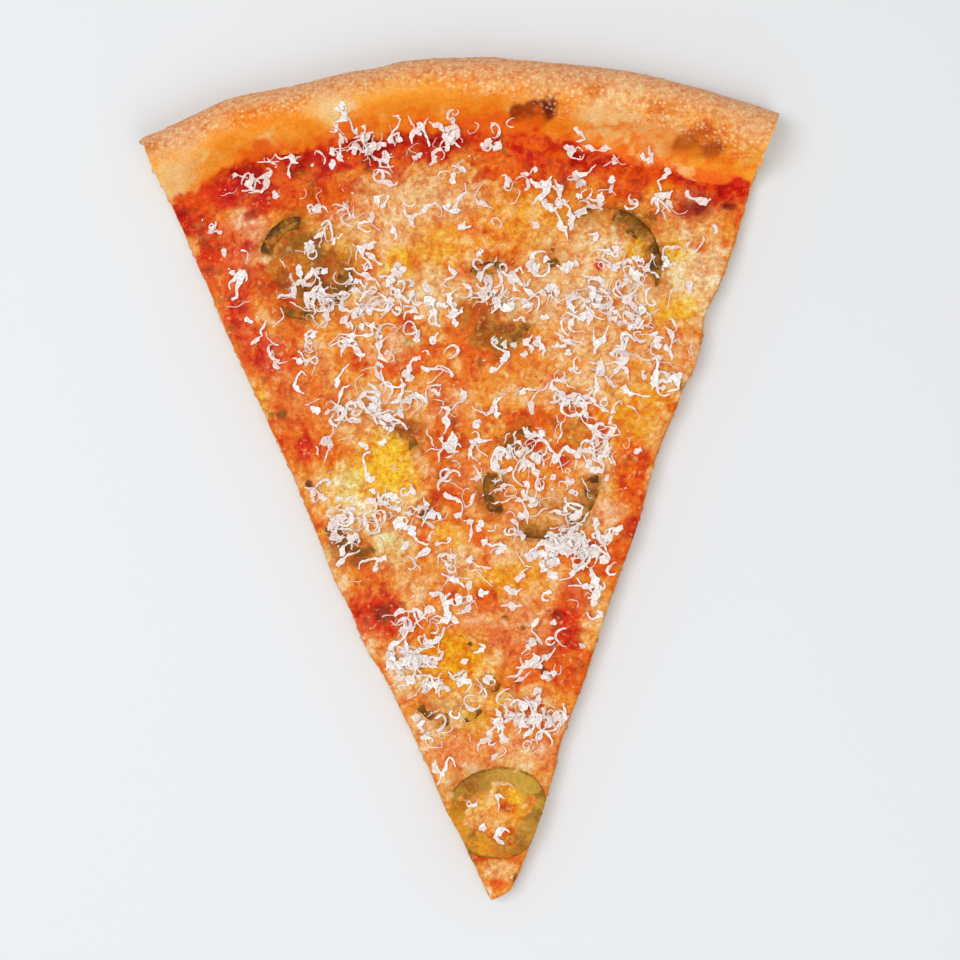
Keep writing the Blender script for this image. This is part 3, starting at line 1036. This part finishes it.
def makeSauce(materials):
    # a thin layer on the dough, finely divided only in the band that the cheese
    # leaves open; it runs out to nothing and dips into the dough's skin at its edge
    fine, coarse = sauceMesh["rows"], sauceMesh["coarseRows"]
    columns = sauceMesh["columns"]
    counts = [columns // 8] * coarse + [columns // 4, columns // 2] + [columns] * fine
    rowOf, across, starts, faces = sheetGrid(counts)
    inset = layers["sauceInset"]
    rimAngle = wedgeAngle(wedge["rimShare"] * wedge["radius"], across, -inset)
    edge = sauceEdgeRadius(rimAngle)
    start = tipRadius(across) + inset
    bandStart = edge - sauceMesh["fineBand"]
    innerShare = np.clip(rowOf / (coarse + 1), 0.0, 1.0)
    bandShare = np.clip((rowOf - coarse - 1) / fine, 0.0, 1.0)
    radius = start + innerShare * (bandStart - start) + bandShare * sauceMesh["fineBand"]
    angle = wedgeAngle(radius, across, -inset)
    bottom = doughHeight(radius, angle) + layers["gap"]
    flat = pointAt(radius, angle, 0.0)
    toEdge = edge - radius
    lumps = sauceMesh["lump"] * cloudNoise(flat, 3.0, 3, 41) + sauceMesh["pulp"] * curdField(flat)
    hidden = ease((toEdge - 16.0) / 6.0)
    thickness = layers["sauceThickness"] * ease(toEdge / 5.0) + lumps * ease(toEdge / 3.0) * (1.0 - hidden)
    thickness -= sauceMesh["edgeDip"] * (1.0 - ease(toEdge / 2.0))
    points = pointAt(radius, angle, bottom + np.maximum(thickness, -0.3))
    points, faces = closeSheet(points, starts, faces, sauceUnderside, 2)
    made = makePiece("sauceLayer", points, faces, materials, toppingTones(points), sharp=60)
    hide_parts("sauce")


def sauceUnderside(top):
    # down to the level of the slice's flat part, so that towards the rim it lies inside the dough
    radius = polarOf(top)[0]
    return np.column_stack([top[:, :2], np.minimum(baseHeight(radius) + 0.05, top[:, 2] - 0.08)])


cheeseMesh = {"bands": ((62.0, 80), (125.0, 160), (400.0, 320)), "rowStep": 0.5, "wallLevels": 5}


def makeCheese(materials):
    # the top as rows from the tip to the ragged edge near
    # the rim, with twice as many cells a row in each band
    inset = layers["cheeseInset"]
    length = wedge["radius"] - min(inward for _, inward in layers["cheeseEdge"]) - wedge["tipRadii"][0]
    rows = int(length / cheeseMesh["rowStep"])
    rowRadius = wedge["tipRadii"][0] + length * np.linspace(0.0, 1.0, rows)
    limits, counts = zip(*cheeseMesh["bands"])
    rowOf, across, starts, faces = sheetGrid([counts[i] for i in np.searchsorted(limits, rowRadius)])
    share = rowOf / (rows - 1)
    rimAngle = wedgeAngle(wedge["rimShare"] * wedge["radius"], across, -inset)
    edge = cheeseEdgeRadius(rimAngle)
    start = tipRadius(across) + inset
    radius = start + share * (edge - start)
    wander = 0.45 * cloudNoise(pointAt(radius, 0.0 * radius, 0.0), 7.0, 3, 51) * np.abs(across) ** 8
    angle = wedgeAngle(radius, across, wander - inset)
    points = pointAt(radius, angle, 0.0)
    height = cheeseTop(points)
    toSide = (1.0 - np.abs(across)) * radius * wedge["halfAngle"]
    roundness = np.clip(1.0 - np.minimum(toSide, radius - start + 0.2) / cheeseRelief["edgeRound"], 0.0, 1.0)
    points[:, 2] = height - cheeseRelief["edgeDrop"] * (1.0 - np.sqrt(1.0 - 0.92 * roundness**2))
    points, faces = closeSheet(points, starts, faces, cheeseUnderside, cheeseMesh["wallLevels"])
    made = makePiece("meltedCheese", points, faces, materials, toppingTones(points), sharp=60)
    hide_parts("cheese")


def cheeseUnderside(top):
    # down to the sauce on the slice's flat part, so that
    # towards the rim it lies inside the sauce and the dough
    radius = polarOf(top)[0]
    flatTop = baseHeight(radius) + layers["gap"] + layers["sauceThickness"]
    return np.column_stack([top[:, :2], np.minimum(flatTop + 0.05, top[:, 2] - 0.2)])


ringMesh = {"around": 240, "section": 32, "squareness": 0.6}
ringTones = {
    "skin": "46290a", "flesh": "84500f", "inner": "bc7a20", "roasted": "4c2c0a", "pale": "dca040",
    "tipSkin": "7c5414", "leaf": "ac9a3a",
    # the fully bare ring, by degrees from +X
    "tip": (
        (-180, "d6840e"), (-150, "d98a28"), (-120, "e0941a"), (-90, "c87018"), (-60, "ae6c1c"),
        (-30, "b77d2a"), (0, "ba8c30"), (45, "c49638"), (90, "c08c3c"), (125, "a2601c"), (150, "945410"),
        (180, "d6840e"),
    ),
}


def makeRing(name, materials):
    # a rounded square section carried round the lobed circle; it lies lower where the cheese
    # covers it, and the inner edge of a bare ring is softened and sags into the cheese
    middle, outer, wall = ringShapes[name][:3]
    low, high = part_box(name)
    turn = np.linspace(-math.pi, math.pi, ringMesh["around"], endpoint=False)[:, None]
    around = np.linspace(0.0, 2.0 * math.pi, ringMesh["section"], endpoint=False)[None, :]
    power = ringMesh["squareness"]
    side = np.sign(np.cos(around)) * np.abs(np.cos(around)) ** power
    up = np.sign(np.sin(around)) * np.abs(np.sin(around)) ** power
    seed = 80 + list(ringShapes).index(name)
    along = np.stack([np.cos(turn) * 12.0, np.sin(turn) * 12.0, 0.0 * turn], axis=-1).reshape(-1, 3)
    ragged = cloudNoise(along, 4.0, 4, seed)[:, None]
    inner = outer * ringSwell(name, turn) - wall * (1.0 + ringFit["innerRagged"] * ragged)
    rough = ringFit["outerRagged"] * cloudNoise(along, 3.0, 3, seed + 7)[:, None]
    outside = outer * ringSwell(name, turn) - ringFit["clear"] + rough
    reach = (inner + outside) / 2.0 + side * (outside - inner) / 2.0
    bottom = low.z / mm + 0.2
    slump = ringFit["slump"] * wall * ((1.0 - side) / 2.0) ** 2
    drop = ringFit["sink"] * (1.0 - bareness(name, turn)) + slump
    top = high.z / mm - drop + 0.18 * ragged
    height = (top + bottom) / 2.0 + up * (top - bottom) / 2.0
    shape = np.broadcast_arrays(middle[0] + reach * np.cos(turn), middle[1] + reach * np.sin(turn), height)
    points = np.stack(shape, axis=-1).reshape(-1, 3)
    rows, columns = ringMesh["around"], ringMesh["section"]
    wholeTurn, wholeSide = (np.broadcast_to(a, (rows, columns)).ravel() for a in (turn, side))
    streaks = np.column_stack([along.repeat(columns, axis=0)[:, :2] * 0.6, 2.6 * wholeSide])
    points[:, 2] += 0.10 * cloudNoise(points, 2.0, 2, seed + 1) + 0.12 * cloudNoise(streaks, 1.4, 2, seed + 4)
    if name == "pepper_ring_tip":
        points = trimToWedge(points)
    first = np.arange(rows)[:, None] * columns + np.arange(columns)[None, :]
    corners = [first, np.roll(first, -1, 0), np.roll(np.roll(first, -1, 0), -1, 1), np.roll(first, -1, 1)]
    faces = np.stack(corners, axis=-1).reshape(-1, 4).tolist()
    colours = ringTonesAt(name, points, streaks, wholeTurn, wholeSide, seed)
    title = "pepperRing" + "".join(word.capitalize() for word in name.split("_")[2:])
    made = makePiece(title, points, faces, materials, colours, sharp=80)
    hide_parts(name)


def trimToWedge(points):
    # the knife went through this ring: what lies past a cut side is drawn in to it
    radius, angle = polarOf(points)
    left = wedgeAngle(radius, -1.0, -layers["cheeseInset"] + 0.2)
    right = wedgeAngle(radius, 1.0, -layers["cheeseInset"] + 0.2)
    return pointAt(radius, np.clip(angle, left, right), points[:, 2])


def ringTonesAt(name, points, streaks, turn, side, seed):
    # flesh between a dark skin outside and a paler inner edge, streaked
    # across the wall and roasted in blotches, with the cheese's own colour
    # where a film of cheese lies over it, mostly towards the ring's middle
    streak = cloudNoise(streaks, 1.4, 3, seed + 4)
    blotch = cloudNoise(points, 4.0, 3, seed + 2)
    patchy = cloudNoise(points, 2.2, 3, seed + 3)
    if name == "pepper_ring_tip":
        colours = alongStations(ringTones["tip"], np.degrees(turn))
        within = ease(-1.3 * side - 0.2 + 0.9 * blotch + 0.6 * streak)
        colours = mixTo(colours, ringTones["pale"], 0.7 * within)
        colours = mixTo(colours, ringTones["flesh"], 0.65 * ease(1.8 * blotch + 0.8 * streak - 0.1))
        colours = mixTo(colours, ringTones["leaf"], 0.5 * ease(1.6 * patchy - 0.9 * streak))
        colours = mixTo(colours, ringTones["tipSkin"], 0.6 * ease((side - 0.84 + 0.3 * patchy) / 0.2))
        melted = ease(-2.2 * side - 1.1 + 1.3 * patchy)
        return mixTo(colours, toppingTones(points), melted)
    colours = np.tile(srgb(ringTones["flesh"]), (len(points), 1))
    colours = mixTo(colours, ringTones["inner"], 0.6 * ease(-side - 0.1 + 0.5 * blotch))
    colours = mixTo(colours, ringTones["roasted"], 0.8 * ease(0.4 + 1.6 * blotch))
    colours = mixTo(colours, ringTones["pale"], 0.3 * ease(1.5 * streak - 0.2))
    colours = mixTo(colours, ringTones["skin"], 0.55 * ease((side - 0.62 + 0.6 * patchy) / 0.35))
    film = ease(1.2 - 1.25 * bareness(name, turn) + 2.0 * patchy - 0.45 * side)
    return mixTo(colours, toppingTones(points), 0.92 * film)


gratedHeaps = (
    # middle, half sizes and how thickly it fell
    (-33, 101, 5, 4, 0.8), (-27, 94, 8, 5, 2.1), (-17, 97, 7, 3, 1.2), (-3, 96, 9, 4, 1.2), (-2, 89, 9, 4, 1),
    (7, 94, 3, 3, 1.3), (-52, 92, 5, 4, 1), (-45, 91, 3, 2, 1), (-57, 86, 5, 4, 1), (-64, 86, 4, 2, 0.4),
    (-68, 84, 3, 2, 0.3), (-71, 73, 5, 2.5, 0.3), (-73, 77, 2, 2, 0.3), (-69, 67, 3, 2, 0.2),
    (-66, 62, 6, 3.5, 0.45), (-59, 64, 3, 3, 0.3), (-66, 57, 3, 4, 0.2), (-65, 51, 2, 2, 0.1),
    (-53, 52, 3, 3, 0.3), (-58, 46, 5, 2.5, 0.6), (-40, 70, 6, 3, 1.6), (-34, 76, 7, 5, 0.7),
    (-39, 80, 4, 3, 0.2), (-22, 84, 4, 4, 1), (-10, 75, 8, 2, 0.7), (-29, 63, 6, 5, 0.5), (-28, 57, 8, 4, 1),
    (-46, 59, 5, 4, 1), (-38, 51, 9, 5, 1.8), (-23, 53, 8, 4, 1.5), (-10, 55, 8, 5, 0.25),
    (-18, 46, 9, 4, 1.3), (-5, 50, 9, 4, 0.6), (-30, 44, 9, 3, 1), (-48, 42, 7, 3.5, 0.5),
    (-50, 37.5, 8, 3, 0.6), (-37, 40, 10, 4, 0.85), (-25, 38, 5, 3, 0.4), (-40, 33, 6, 2, 0.3),
    (-15, 37, 4, 4, 0.4), (-5, 36, 4, 3, 0.5), (33, 91, 4, 4, 1.2), (41, 87, 3, 3, 0.7), (45, 88, 3, 2, 0.7),
    (52, 88, 4, 2, 0.8), (58, 81, 3, 2, 0.3), (34, 84, 4, 3, 0.8), (14, 99, 2, 2, 0.5), (13, 84, 3, 4, 0.5),
    (14, 79, 3, 2, 0.5), (22, 80, 4, 5, 0.8), (30, 77, 8, 5, 1.2), (40, 77, 3, 3, 0.8), (46, 76, 3, 3, 0.7),
    (5, 77, 6, 4, 0.3), (3, 71, 3, 2, 0.3), (15, 57, 5, 4, 0.8), (22, 59, 3, 3, 0.6), (29, 57, 5, 3, 0.8),
    (40, 58, 5, 4, 0.7), (45, 62, 3, 3, 0.8), (45, 56, 8, 4, 1.1), (52, 58, 3, 3, 0.6), (5, 52, 10, 5, 1.1),
    (20, 49, 12, 4, 1.2), (33, 48, 12, 5, 1.6), (45, 46, 7, 5, 0.9), (57, 48, 6, 1, 0.4),
    (65, 43.5, 4, 2.5, 1), (60, 63, 2, 3, 0.5), (25, 38, 8, 4, 0.8), (35, 35, 8, 6, 0.75), (47, 40, 6, 4, 1),
    (50, 33, 9, 5, 1), (58, 35, 4, 5, 0.6), (10, 35, 6, 4, 0.7), (52, 24, 6, 4, 1.4), (15, 22, 5, 3, 1),
    (5, 21, 5, 2, 1), (25, 20, 7, 4, 1.7), (38, 20, 5, 4, 0.5), (33, 30, 8, 4, 0.6), (-45, 23, 4, 2.5, 1),
    (-33, 22, 10, 4, 2), (-20, 22, 8, 5, 1.3), (-8, 22, 4, 3, 0.4), (-8, 29, 6, 3, 1), (-24, 31, 4, 2, 0.5),
    (-42, 13, 7, 4, 1), (-25, 13, 4, 3, 0.6), (-51, 5, 2, 3, 1), (-48, -2, 2, 2, 0.8), (-45, -2, 3, 5, 1),
    (-40, -12, 5, 4, 1.8), (-30, -8, 8, 4, 1.8), (-20, -9, 8, 4, 1.4), (-28, -16, 5, 5, 0.3),
    (-38, -17, 3, 3, 2.4), (-36, -21.5, 6, 1, 1.4), (-7, 8, 6, 6, 1.1), (5, 5, 6, 5, 1.6), (15, 3, 9, 9, 1.6),
    (24, 3, 8, 10, 0.6), (33, 13, 3, 4, 1.4), (35, 5, 4, 5, 1.5), (43, 4.5, 3, 1, 0.6), (41, -6, 3, 3, 0.5),
    (-1, -3, 3, 2, 0.6), (-8, -8, 5, 3, 0.8), (24, -9, 5, 4, 1), (-16, -14, 3, 2, 0.8), (2, -18, 3, 3, 0.8),
    (8, -14, 3, 4, 1.8), (38, -16, 4, 3, 0.5), (30, -36, 4, 5, 1.4), (25, -19, 8, 6, 3.8), (32, -27, 4, 8, 1),
    (-12, -22, 6, 5, 1.1), (0, -22, 7, 3, 1), (14, -24, 4, 3, 1.4), (-3, -31, 3, 3, 1), (-10, -34, 7, 5, 1.1),
    (-22, -34, 3, 3, 0.4), (-25, -38, 3, 2, 0.5), (-20, -42, 7, 4, 1.2), (-24, -50, 5, 5, 3),
    (-24, -57, 3, 3, 1), (-18, -46, 5, 3, 1.4), (-15, -56, 8, 4, 1.3), (-5, -55, 4, 3, 0.7),
    (8, -33, 4, 3, 0.7), (12, -46, 5, 3, 0.8), (21, -46, 3, 3, 0.8), (13, -52, 2, 2, 0.6),
    (-1, -48, 2, 2, 0.6), (-17, -64, 3, 3, 0.6), (-14, -69, 6, 5, 1.1), (-3, -72, 5, 3, 0.8),
    (-1, -78, 3, 2, 0.8), (3, -68, 4, 4, 1), (9, -64, 5, 4, 2), (15, -66, 5, 4, 1.8), (12, -72, 6, 4, 2.1),
    (19, -70, 2, 3, 2.2), (18, -58, 2, 2, 0.8), (-6, -89, 2, 1, 0.6), (1, -90, 2, 1, 0.6),
    (15, -90, 2, 3, 0.8), (-6, -97, 2, 2, 0.6), (-1, -100, 3, 1.5, 0.6),
)
gratedKinds = {
    # share of all, points along it, length, whole turn and kinks in degrees, half width, how much
    # wider it gets on each side where it is a plate, half thickness (mm), how uneven its sides
    # are, tilt, and roll in degrees: 0 stands the width up along the curl's axis, 90 lays it flat
    "gratedRibbons": {
        "share": 0.34, "steps": 12, "length": (4.5, 11.0), "turn": (10, 140), "kink": 100,
        "halfWidth": (0.16, 0.34), "plate": (0.25, 0.95), "halfThick": (0.05, 0.09), "uneven": 0.5,
        "tilt": (0, 14), "roll": (62, 90),
    },
    "gratedFlakes": {
        "share": 0.16, "steps": 6, "length": (1.8, 3.8), "turn": (0, 60), "kink": 50,
        "halfWidth": (0.45, 0.95), "plate": (0.0, 0.5), "halfThick": (0.05, 0.09), "uneven": 0.5,
        "tilt": (0, 18), "roll": (70, 90),
    },
    "gratedCurls": {
        "share": 0.13, "steps": 12, "length": (5.0, 11.0), "turn": (140, 380), "kink": 50,
        "halfWidth": (0.16, 0.32), "plate": (0.0, 0.5), "halfThick": (0.05, 0.09), "uneven": 0.4,
        "tilt": (0, 35), "roll": (40, 85),
    },
    "gratedThreads": {
        "share": 0.28, "steps": 11, "length": (3.0, 8.0), "turn": (20, 220), "kink": 70,
        "halfWidth": (0.07, 0.15), "plate": (0.0, 0.25), "halfThick": (0.05, 0.08), "uneven": 0.3,
        "tilt": (0, 25), "roll": (0, 90),
    },
    "gratedCrumbs": {
        "share": 0.09, "steps": 3, "length": (0.3, 0.9), "turn": (0, 60), "kink": 0,
        "halfWidth": (0.12, 0.34), "plate": (0.0, 0.2), "halfThick": (0.07, 0.12), "uneven": 0.5,
        "tilt": (0, 30), "roll": (0, 90),
    },
}
gratedScatter = {
    "perSquareMm": 0.175,  # where the amount is 1
    "gather": 0.62,  # spread round a heap's middle, as a share of its half sizes
    "deepest": 1.6,  # amount past which a heap grows no higher
    "strays": 170,  # shreds that fell outside the heaps
    "pileHeight": 0.9,  # mm
    "white": "fffaf6", "warm": "f6e2da",
}


def toppingHeight(points):
    # what grated cheese lands on: melted cheese, sauce past its edge, and the dough past that
    radius, angle = polarOf(points)
    onCheese = cheeseTop(points)
    onSauce = sauceTop(radius, angle)
    height = np.where(radius < cheeseEdgeRadius(angle), onCheese, onSauce)
    return np.where(radius < sauceEdgeRadius(angle), height, doughHeight(radius, angle) + 0.2)


def heapSpots(rng):
    # spots drawn round the middle of each heap, as many as its area and amount ask for, and strays all over
    heaps = np.array(gratedHeaps, float)
    density = gratedScatter["perSquareMm"] * heaps[:, 4] * math.pi * heaps[:, 2] * heaps[:, 3] * 0.6
    heap = heaps[np.repeat(np.arange(len(heaps)), np.maximum(1, np.round(density)).astype(int))]
    away = rng.normal(0.0, gratedScatter["gather"], (len(heap), 2))
    spots = heap[:, :2] + heap[:, 2:4] * away
    pile = np.minimum(heap[:, 4], gratedScatter["deepest"]) * np.exp(-np.sum(away**2, axis=1))
    count = gratedScatter["strays"]
    radius = 250.0 * np.sqrt(rng.uniform(0.02, 0.72, count))
    stray = pointAt(radius, wedgeAngle(radius, rng.uniform(-0.92, 0.92, count), 0.0), 0.0)[:, :2]
    spots, pile = np.concatenate([spots, stray]), np.concatenate([pile, np.zeros(count)])
    radius, angle = polarOf(spots)
    inside = np.abs(angle) < wedgeAngle(radius, 1.0, -2.0)
    return spots[inside], pile[inside]


def spread(rng, limits, count):
    # one even draw between the limits for each shred, as a column
    return rng.uniform(*limits, count)[:, None]


def shredPaths(rng, count, kind):
    # a path whose heading turns along it, unevenly and with two
    # sudden kinks, with a slight pitch, then tipped and spun in space
    steps = kind["steps"]
    share = np.linspace(0.0, 1.0, steps)[None, :]
    turn = np.radians(spread(rng, kind["turn"], count)) * np.where(rng.random(count) < 0.5, -1, 1)[:, None]
    heading = turn * (share + spread(rng, (-0.5, 0.5), count) * share * (share - 1.0))
    for place in ((0.15, 0.5), (0.5, 0.85)):
        kink = np.radians(spread(rng, (-kind["kink"], kind["kink"]), count))
        heading = heading + kink * ease((share - spread(rng, place, count)) / 0.08)
    heading = heading + spread(rng, (0.0, 0.45), count) * np.sin(9 * share + spread(rng, (0, 6), count))
    step = spread(rng, kind["length"], count) / (steps - 1)
    x, y = np.cumsum(np.cos(heading), axis=1) * step, np.cumsum(np.sin(heading), axis=1) * step
    z = spread(rng, (-0.9, 0.9), count) * share * (kind["length"][1] > 2.0)
    path = np.stack([x - x.mean(1, keepdims=True), y - y.mean(1, keepdims=True), z], axis=-1)
    tilt = np.radians(spread(rng, kind["tilt"], count)[:, 0])
    spin, first = rng.uniform(0, 2 * math.pi, count), rng.uniform(0, 2 * math.pi, count)
    turned = turnMatrix(2, spin) @ turnMatrix(0, tilt) @ turnMatrix(2, first)
    return np.einsum("nij,nkj->nki", turned, path), turned[:, :, 2]


def shredWidths(rng, count, kind):
    # half width to either side along a shred: thin, with up to two plates, frayed, and narrowed at its ends
    share = np.linspace(0.0, 1.0, kind["steps"])[None, :]
    ends = spread(rng, (0.15, 1.0), count)
    narrow = ends + (1.0 - ends) * ease(np.minimum(share, 1.0 - share) / 0.15)
    thin = spread(rng, kind["halfWidth"], count)
    plates = 0.0
    for strength in (1.0, rng.random(count)[:, None]):
        middle, reach = spread(rng, (0.05, 0.95), count), spread(rng, (0.08, 0.20), count)
        plates = plates + strength * ease((reach - np.abs(share - middle)) / 0.06 + 0.5)
    plates = np.minimum(plates, 1.0)
    low, high = 1.0 - kind["uneven"], 1.0 + kind["uneven"]
    sides = [thin + plates * spread(rng, kind["plate"], count) for _ in range(2)]
    return [side * narrow * rng.uniform(low, high, (count, kind["steps"])) for side in sides]


def turnMatrix(axis, angle):
    # rotations about one axis, one for each angle
    made = np.tile(np.eye(3), (len(angle), 1, 1))
    i, j = [k for k in range(3) if k != axis]
    made[:, i, i] = made[:, j, j] = np.cos(angle)
    made[:, i, j], made[:, j, i] = -np.sin(angle), np.sin(angle)
    return made


def ribbonMesh(paths, axes, widths, halfThick, roll):
    # a four-sided strip along each path, `widths` to its left and right;
    # its width lies between the curl's axis and the path's own normal
    count, steps = paths.shape[:2]
    tangent = np.gradient(paths, axis=1)
    tangent /= np.linalg.norm(tangent, axis=-1, keepdims=True)
    axis = axes[:, None, :] - np.sum(axes[:, None, :] * tangent, -1, keepdims=True) * tangent
    axis /= np.maximum(np.linalg.norm(axis, axis=-1, keepdims=True), 1e-9)
    normal = np.cross(axis, tangent)
    across = np.cos(roll)[..., None] * axis + np.sin(roll)[..., None] * normal
    thick = np.cross(tangent, across) * halfThick[..., None]
    left, right = (across * width[..., None] for width in widths)
    above, below = paths + thick, paths - thick
    corners = np.stack([above + left, above - right, below - right, below + left], 2)
    base = np.arange(count)[:, None, None] * steps * 4
    first = base + np.arange(steps - 1)[None, :, None] * 4 + np.arange(4)[None, None, :]
    after = base + np.arange(steps - 1)[None, :, None] * 4 + (np.arange(4)[None, None, :] + 1) % 4
    quads = np.stack([first, after, after + 4, first + 4], axis=-1).reshape(-1, 4)
    ends = base[:, 0] + np.array([3, 2, 1, 0])
    tails = base[:, 0] + (steps - 1) * 4 + np.array([0, 1, 2, 3])
    return corners.reshape(-1, 3), np.concatenate([quads, ends, tails]).tolist()


def makeGrated(materials):
    # each kind takes its share of the spots; a shred follows
    # the ground under it, lifted by its place in the heap
    rng = np.random.default_rng(7)
    spots, pile = heapSpots(rng)
    order = rng.permutation(len(spots))
    start = 0
    for name, kind in gratedKinds.items():
        steps = kind["steps"]
        take = order[start:start + int(kind["share"] * len(spots))]
        start += len(take)
        count = len(take)
        paths, axes = shredPaths(rng, count, kind)
        paths[..., :2] += spots[take][:, None, :]
        ground = toppingHeight(paths.reshape(-1, 3) * (1.0, 1.0, 0.0)).reshape(paths.shape[:2])
        ground = 0.6 * ground + 0.4 * ground.mean(axis=1, keepdims=True)
        share = np.linspace(0.0, 1.0, steps)[None, :]
        widths = shredWidths(rng, count, kind)
        halfThick = spread(rng, kind["halfThick"], count) * np.ones_like(share)
        roll = np.radians(spread(rng, kind["roll"], count)) + spread(rng, (-0.5, 0.5), count) * share
        lift = rng.uniform(0.0, 1.0, count) * pile[take] * gratedScatter["pileHeight"]
        paths[..., 2] += ground + lift[:, None] + 0.12 - paths[..., 2].min(axis=1, keepdims=True)
        points, faces = ribbonMesh(paths, axes, widths, halfThick, roll)
        warmth = rng.uniform(0.0, 1.0, count) ** 1.5
        colours = mixTo(np.tile(srgb(gratedScatter["white"]), (count, 1)), gratedScatter["warm"], warmth)
        made = makePiece(name, points, faces, materials, np.repeat(colours, steps * 4, axis=0), sharp=28)


def buildSlice():
    # from the bottom up, each piece in place of its solid, and the grated cheese on top
    doughMaterials = [bakedDough(), ovenFloorCrust()]
    makeDough(doughMaterials)
    makeSauce([tomatoSauce()])
    makeCheese([meltedCheese()])
    pepper = [cookedPepper()]
    for name in ringShapes:
        makeRing(name, pepper)
    makeGrated([gratedHardCheese()])


def buildStudio():
    # a pale table, a white surround and two large soft lights
    mesh = bpy.data.meshes.new("table")
    reach = 3.0
    corners = [(-reach, -reach, 0), (reach, -reach, 0), (reach, reach, 0), (-reach, reach, 0)]
    mesh.from_pydata(corners, [], [(0, 1, 2, 3)])
    table = bpy.data.objects.new("table", mesh)
    bpy.context.scene.collection.objects.link(table)
    pale = newMaterial("pale_table", Roughness=0.6, Base_Color=shaderColour(studio["table"]))[0]
    mesh.materials.append(pale)
    world = bpy.data.worlds.new("studio")
    bpy.context.scene.world = world
    world.use_nodes = True
    background = world.node_tree.nodes["Background"].inputs
    background["Color"].default_value = (1.0, 1.0, 1.0, 1.0)
    background["Strength"].default_value = studio["surround"]
    for name, place, size, power in studio["lights"]:
        light = bpy.data.lights.new(name, "AREA")
        light.shape, light.size, light.energy = "DISK", size, power
        lamp = bpy.data.objects.new(name, light)
        lamp.location = place
        x, y, z = place
        lamp.rotation_euler = (math.acos(z / math.hypot(x, y, z)), 0.0, math.atan2(x, -y))
        bpy.context.scene.collection.objects.link(lamp)
    bpy.context.scene.view_settings.view_transform = "Standard"
    print("studio:", len(studio["lights"]), "lights")


studio = {
    "table": "e2e4e6",
    "surround": 0.57,
    # place in metres, width in metres, watts
    "lights": (("key", (-0.55, 0.15, 1.35), 0.8, 8.6), ("fill", (0.35, -0.75, 1.15), 1.0, 4.4)),
    "cameraPlace": (0.00016, -0.00028, 0.6397),
    "cameraTurn": -3.0,  # degrees about the vertical
    "lens": 85.0,
}


def buildCamera():
    # straight down on the slice, whose middle line leans a little to the left in the view
    camera = bpy.data.cameras.new("camera")
    camera.lens, camera.sensor_width, camera.clip_start = studio["lens"], 36.0, 0.01
    made = bpy.data.objects.new("camera", camera)
    made.location = studio["cameraPlace"]
    made.rotation_euler = (0.0, 0.0, math.radians(studio["cameraTurn"]))
    bpy.context.scene.collection.objects.link(made)
    bpy.context.scene.camera = made
    print("camera placed")


buildSlice()
buildStudio()
buildCamera()
print("sizes written")
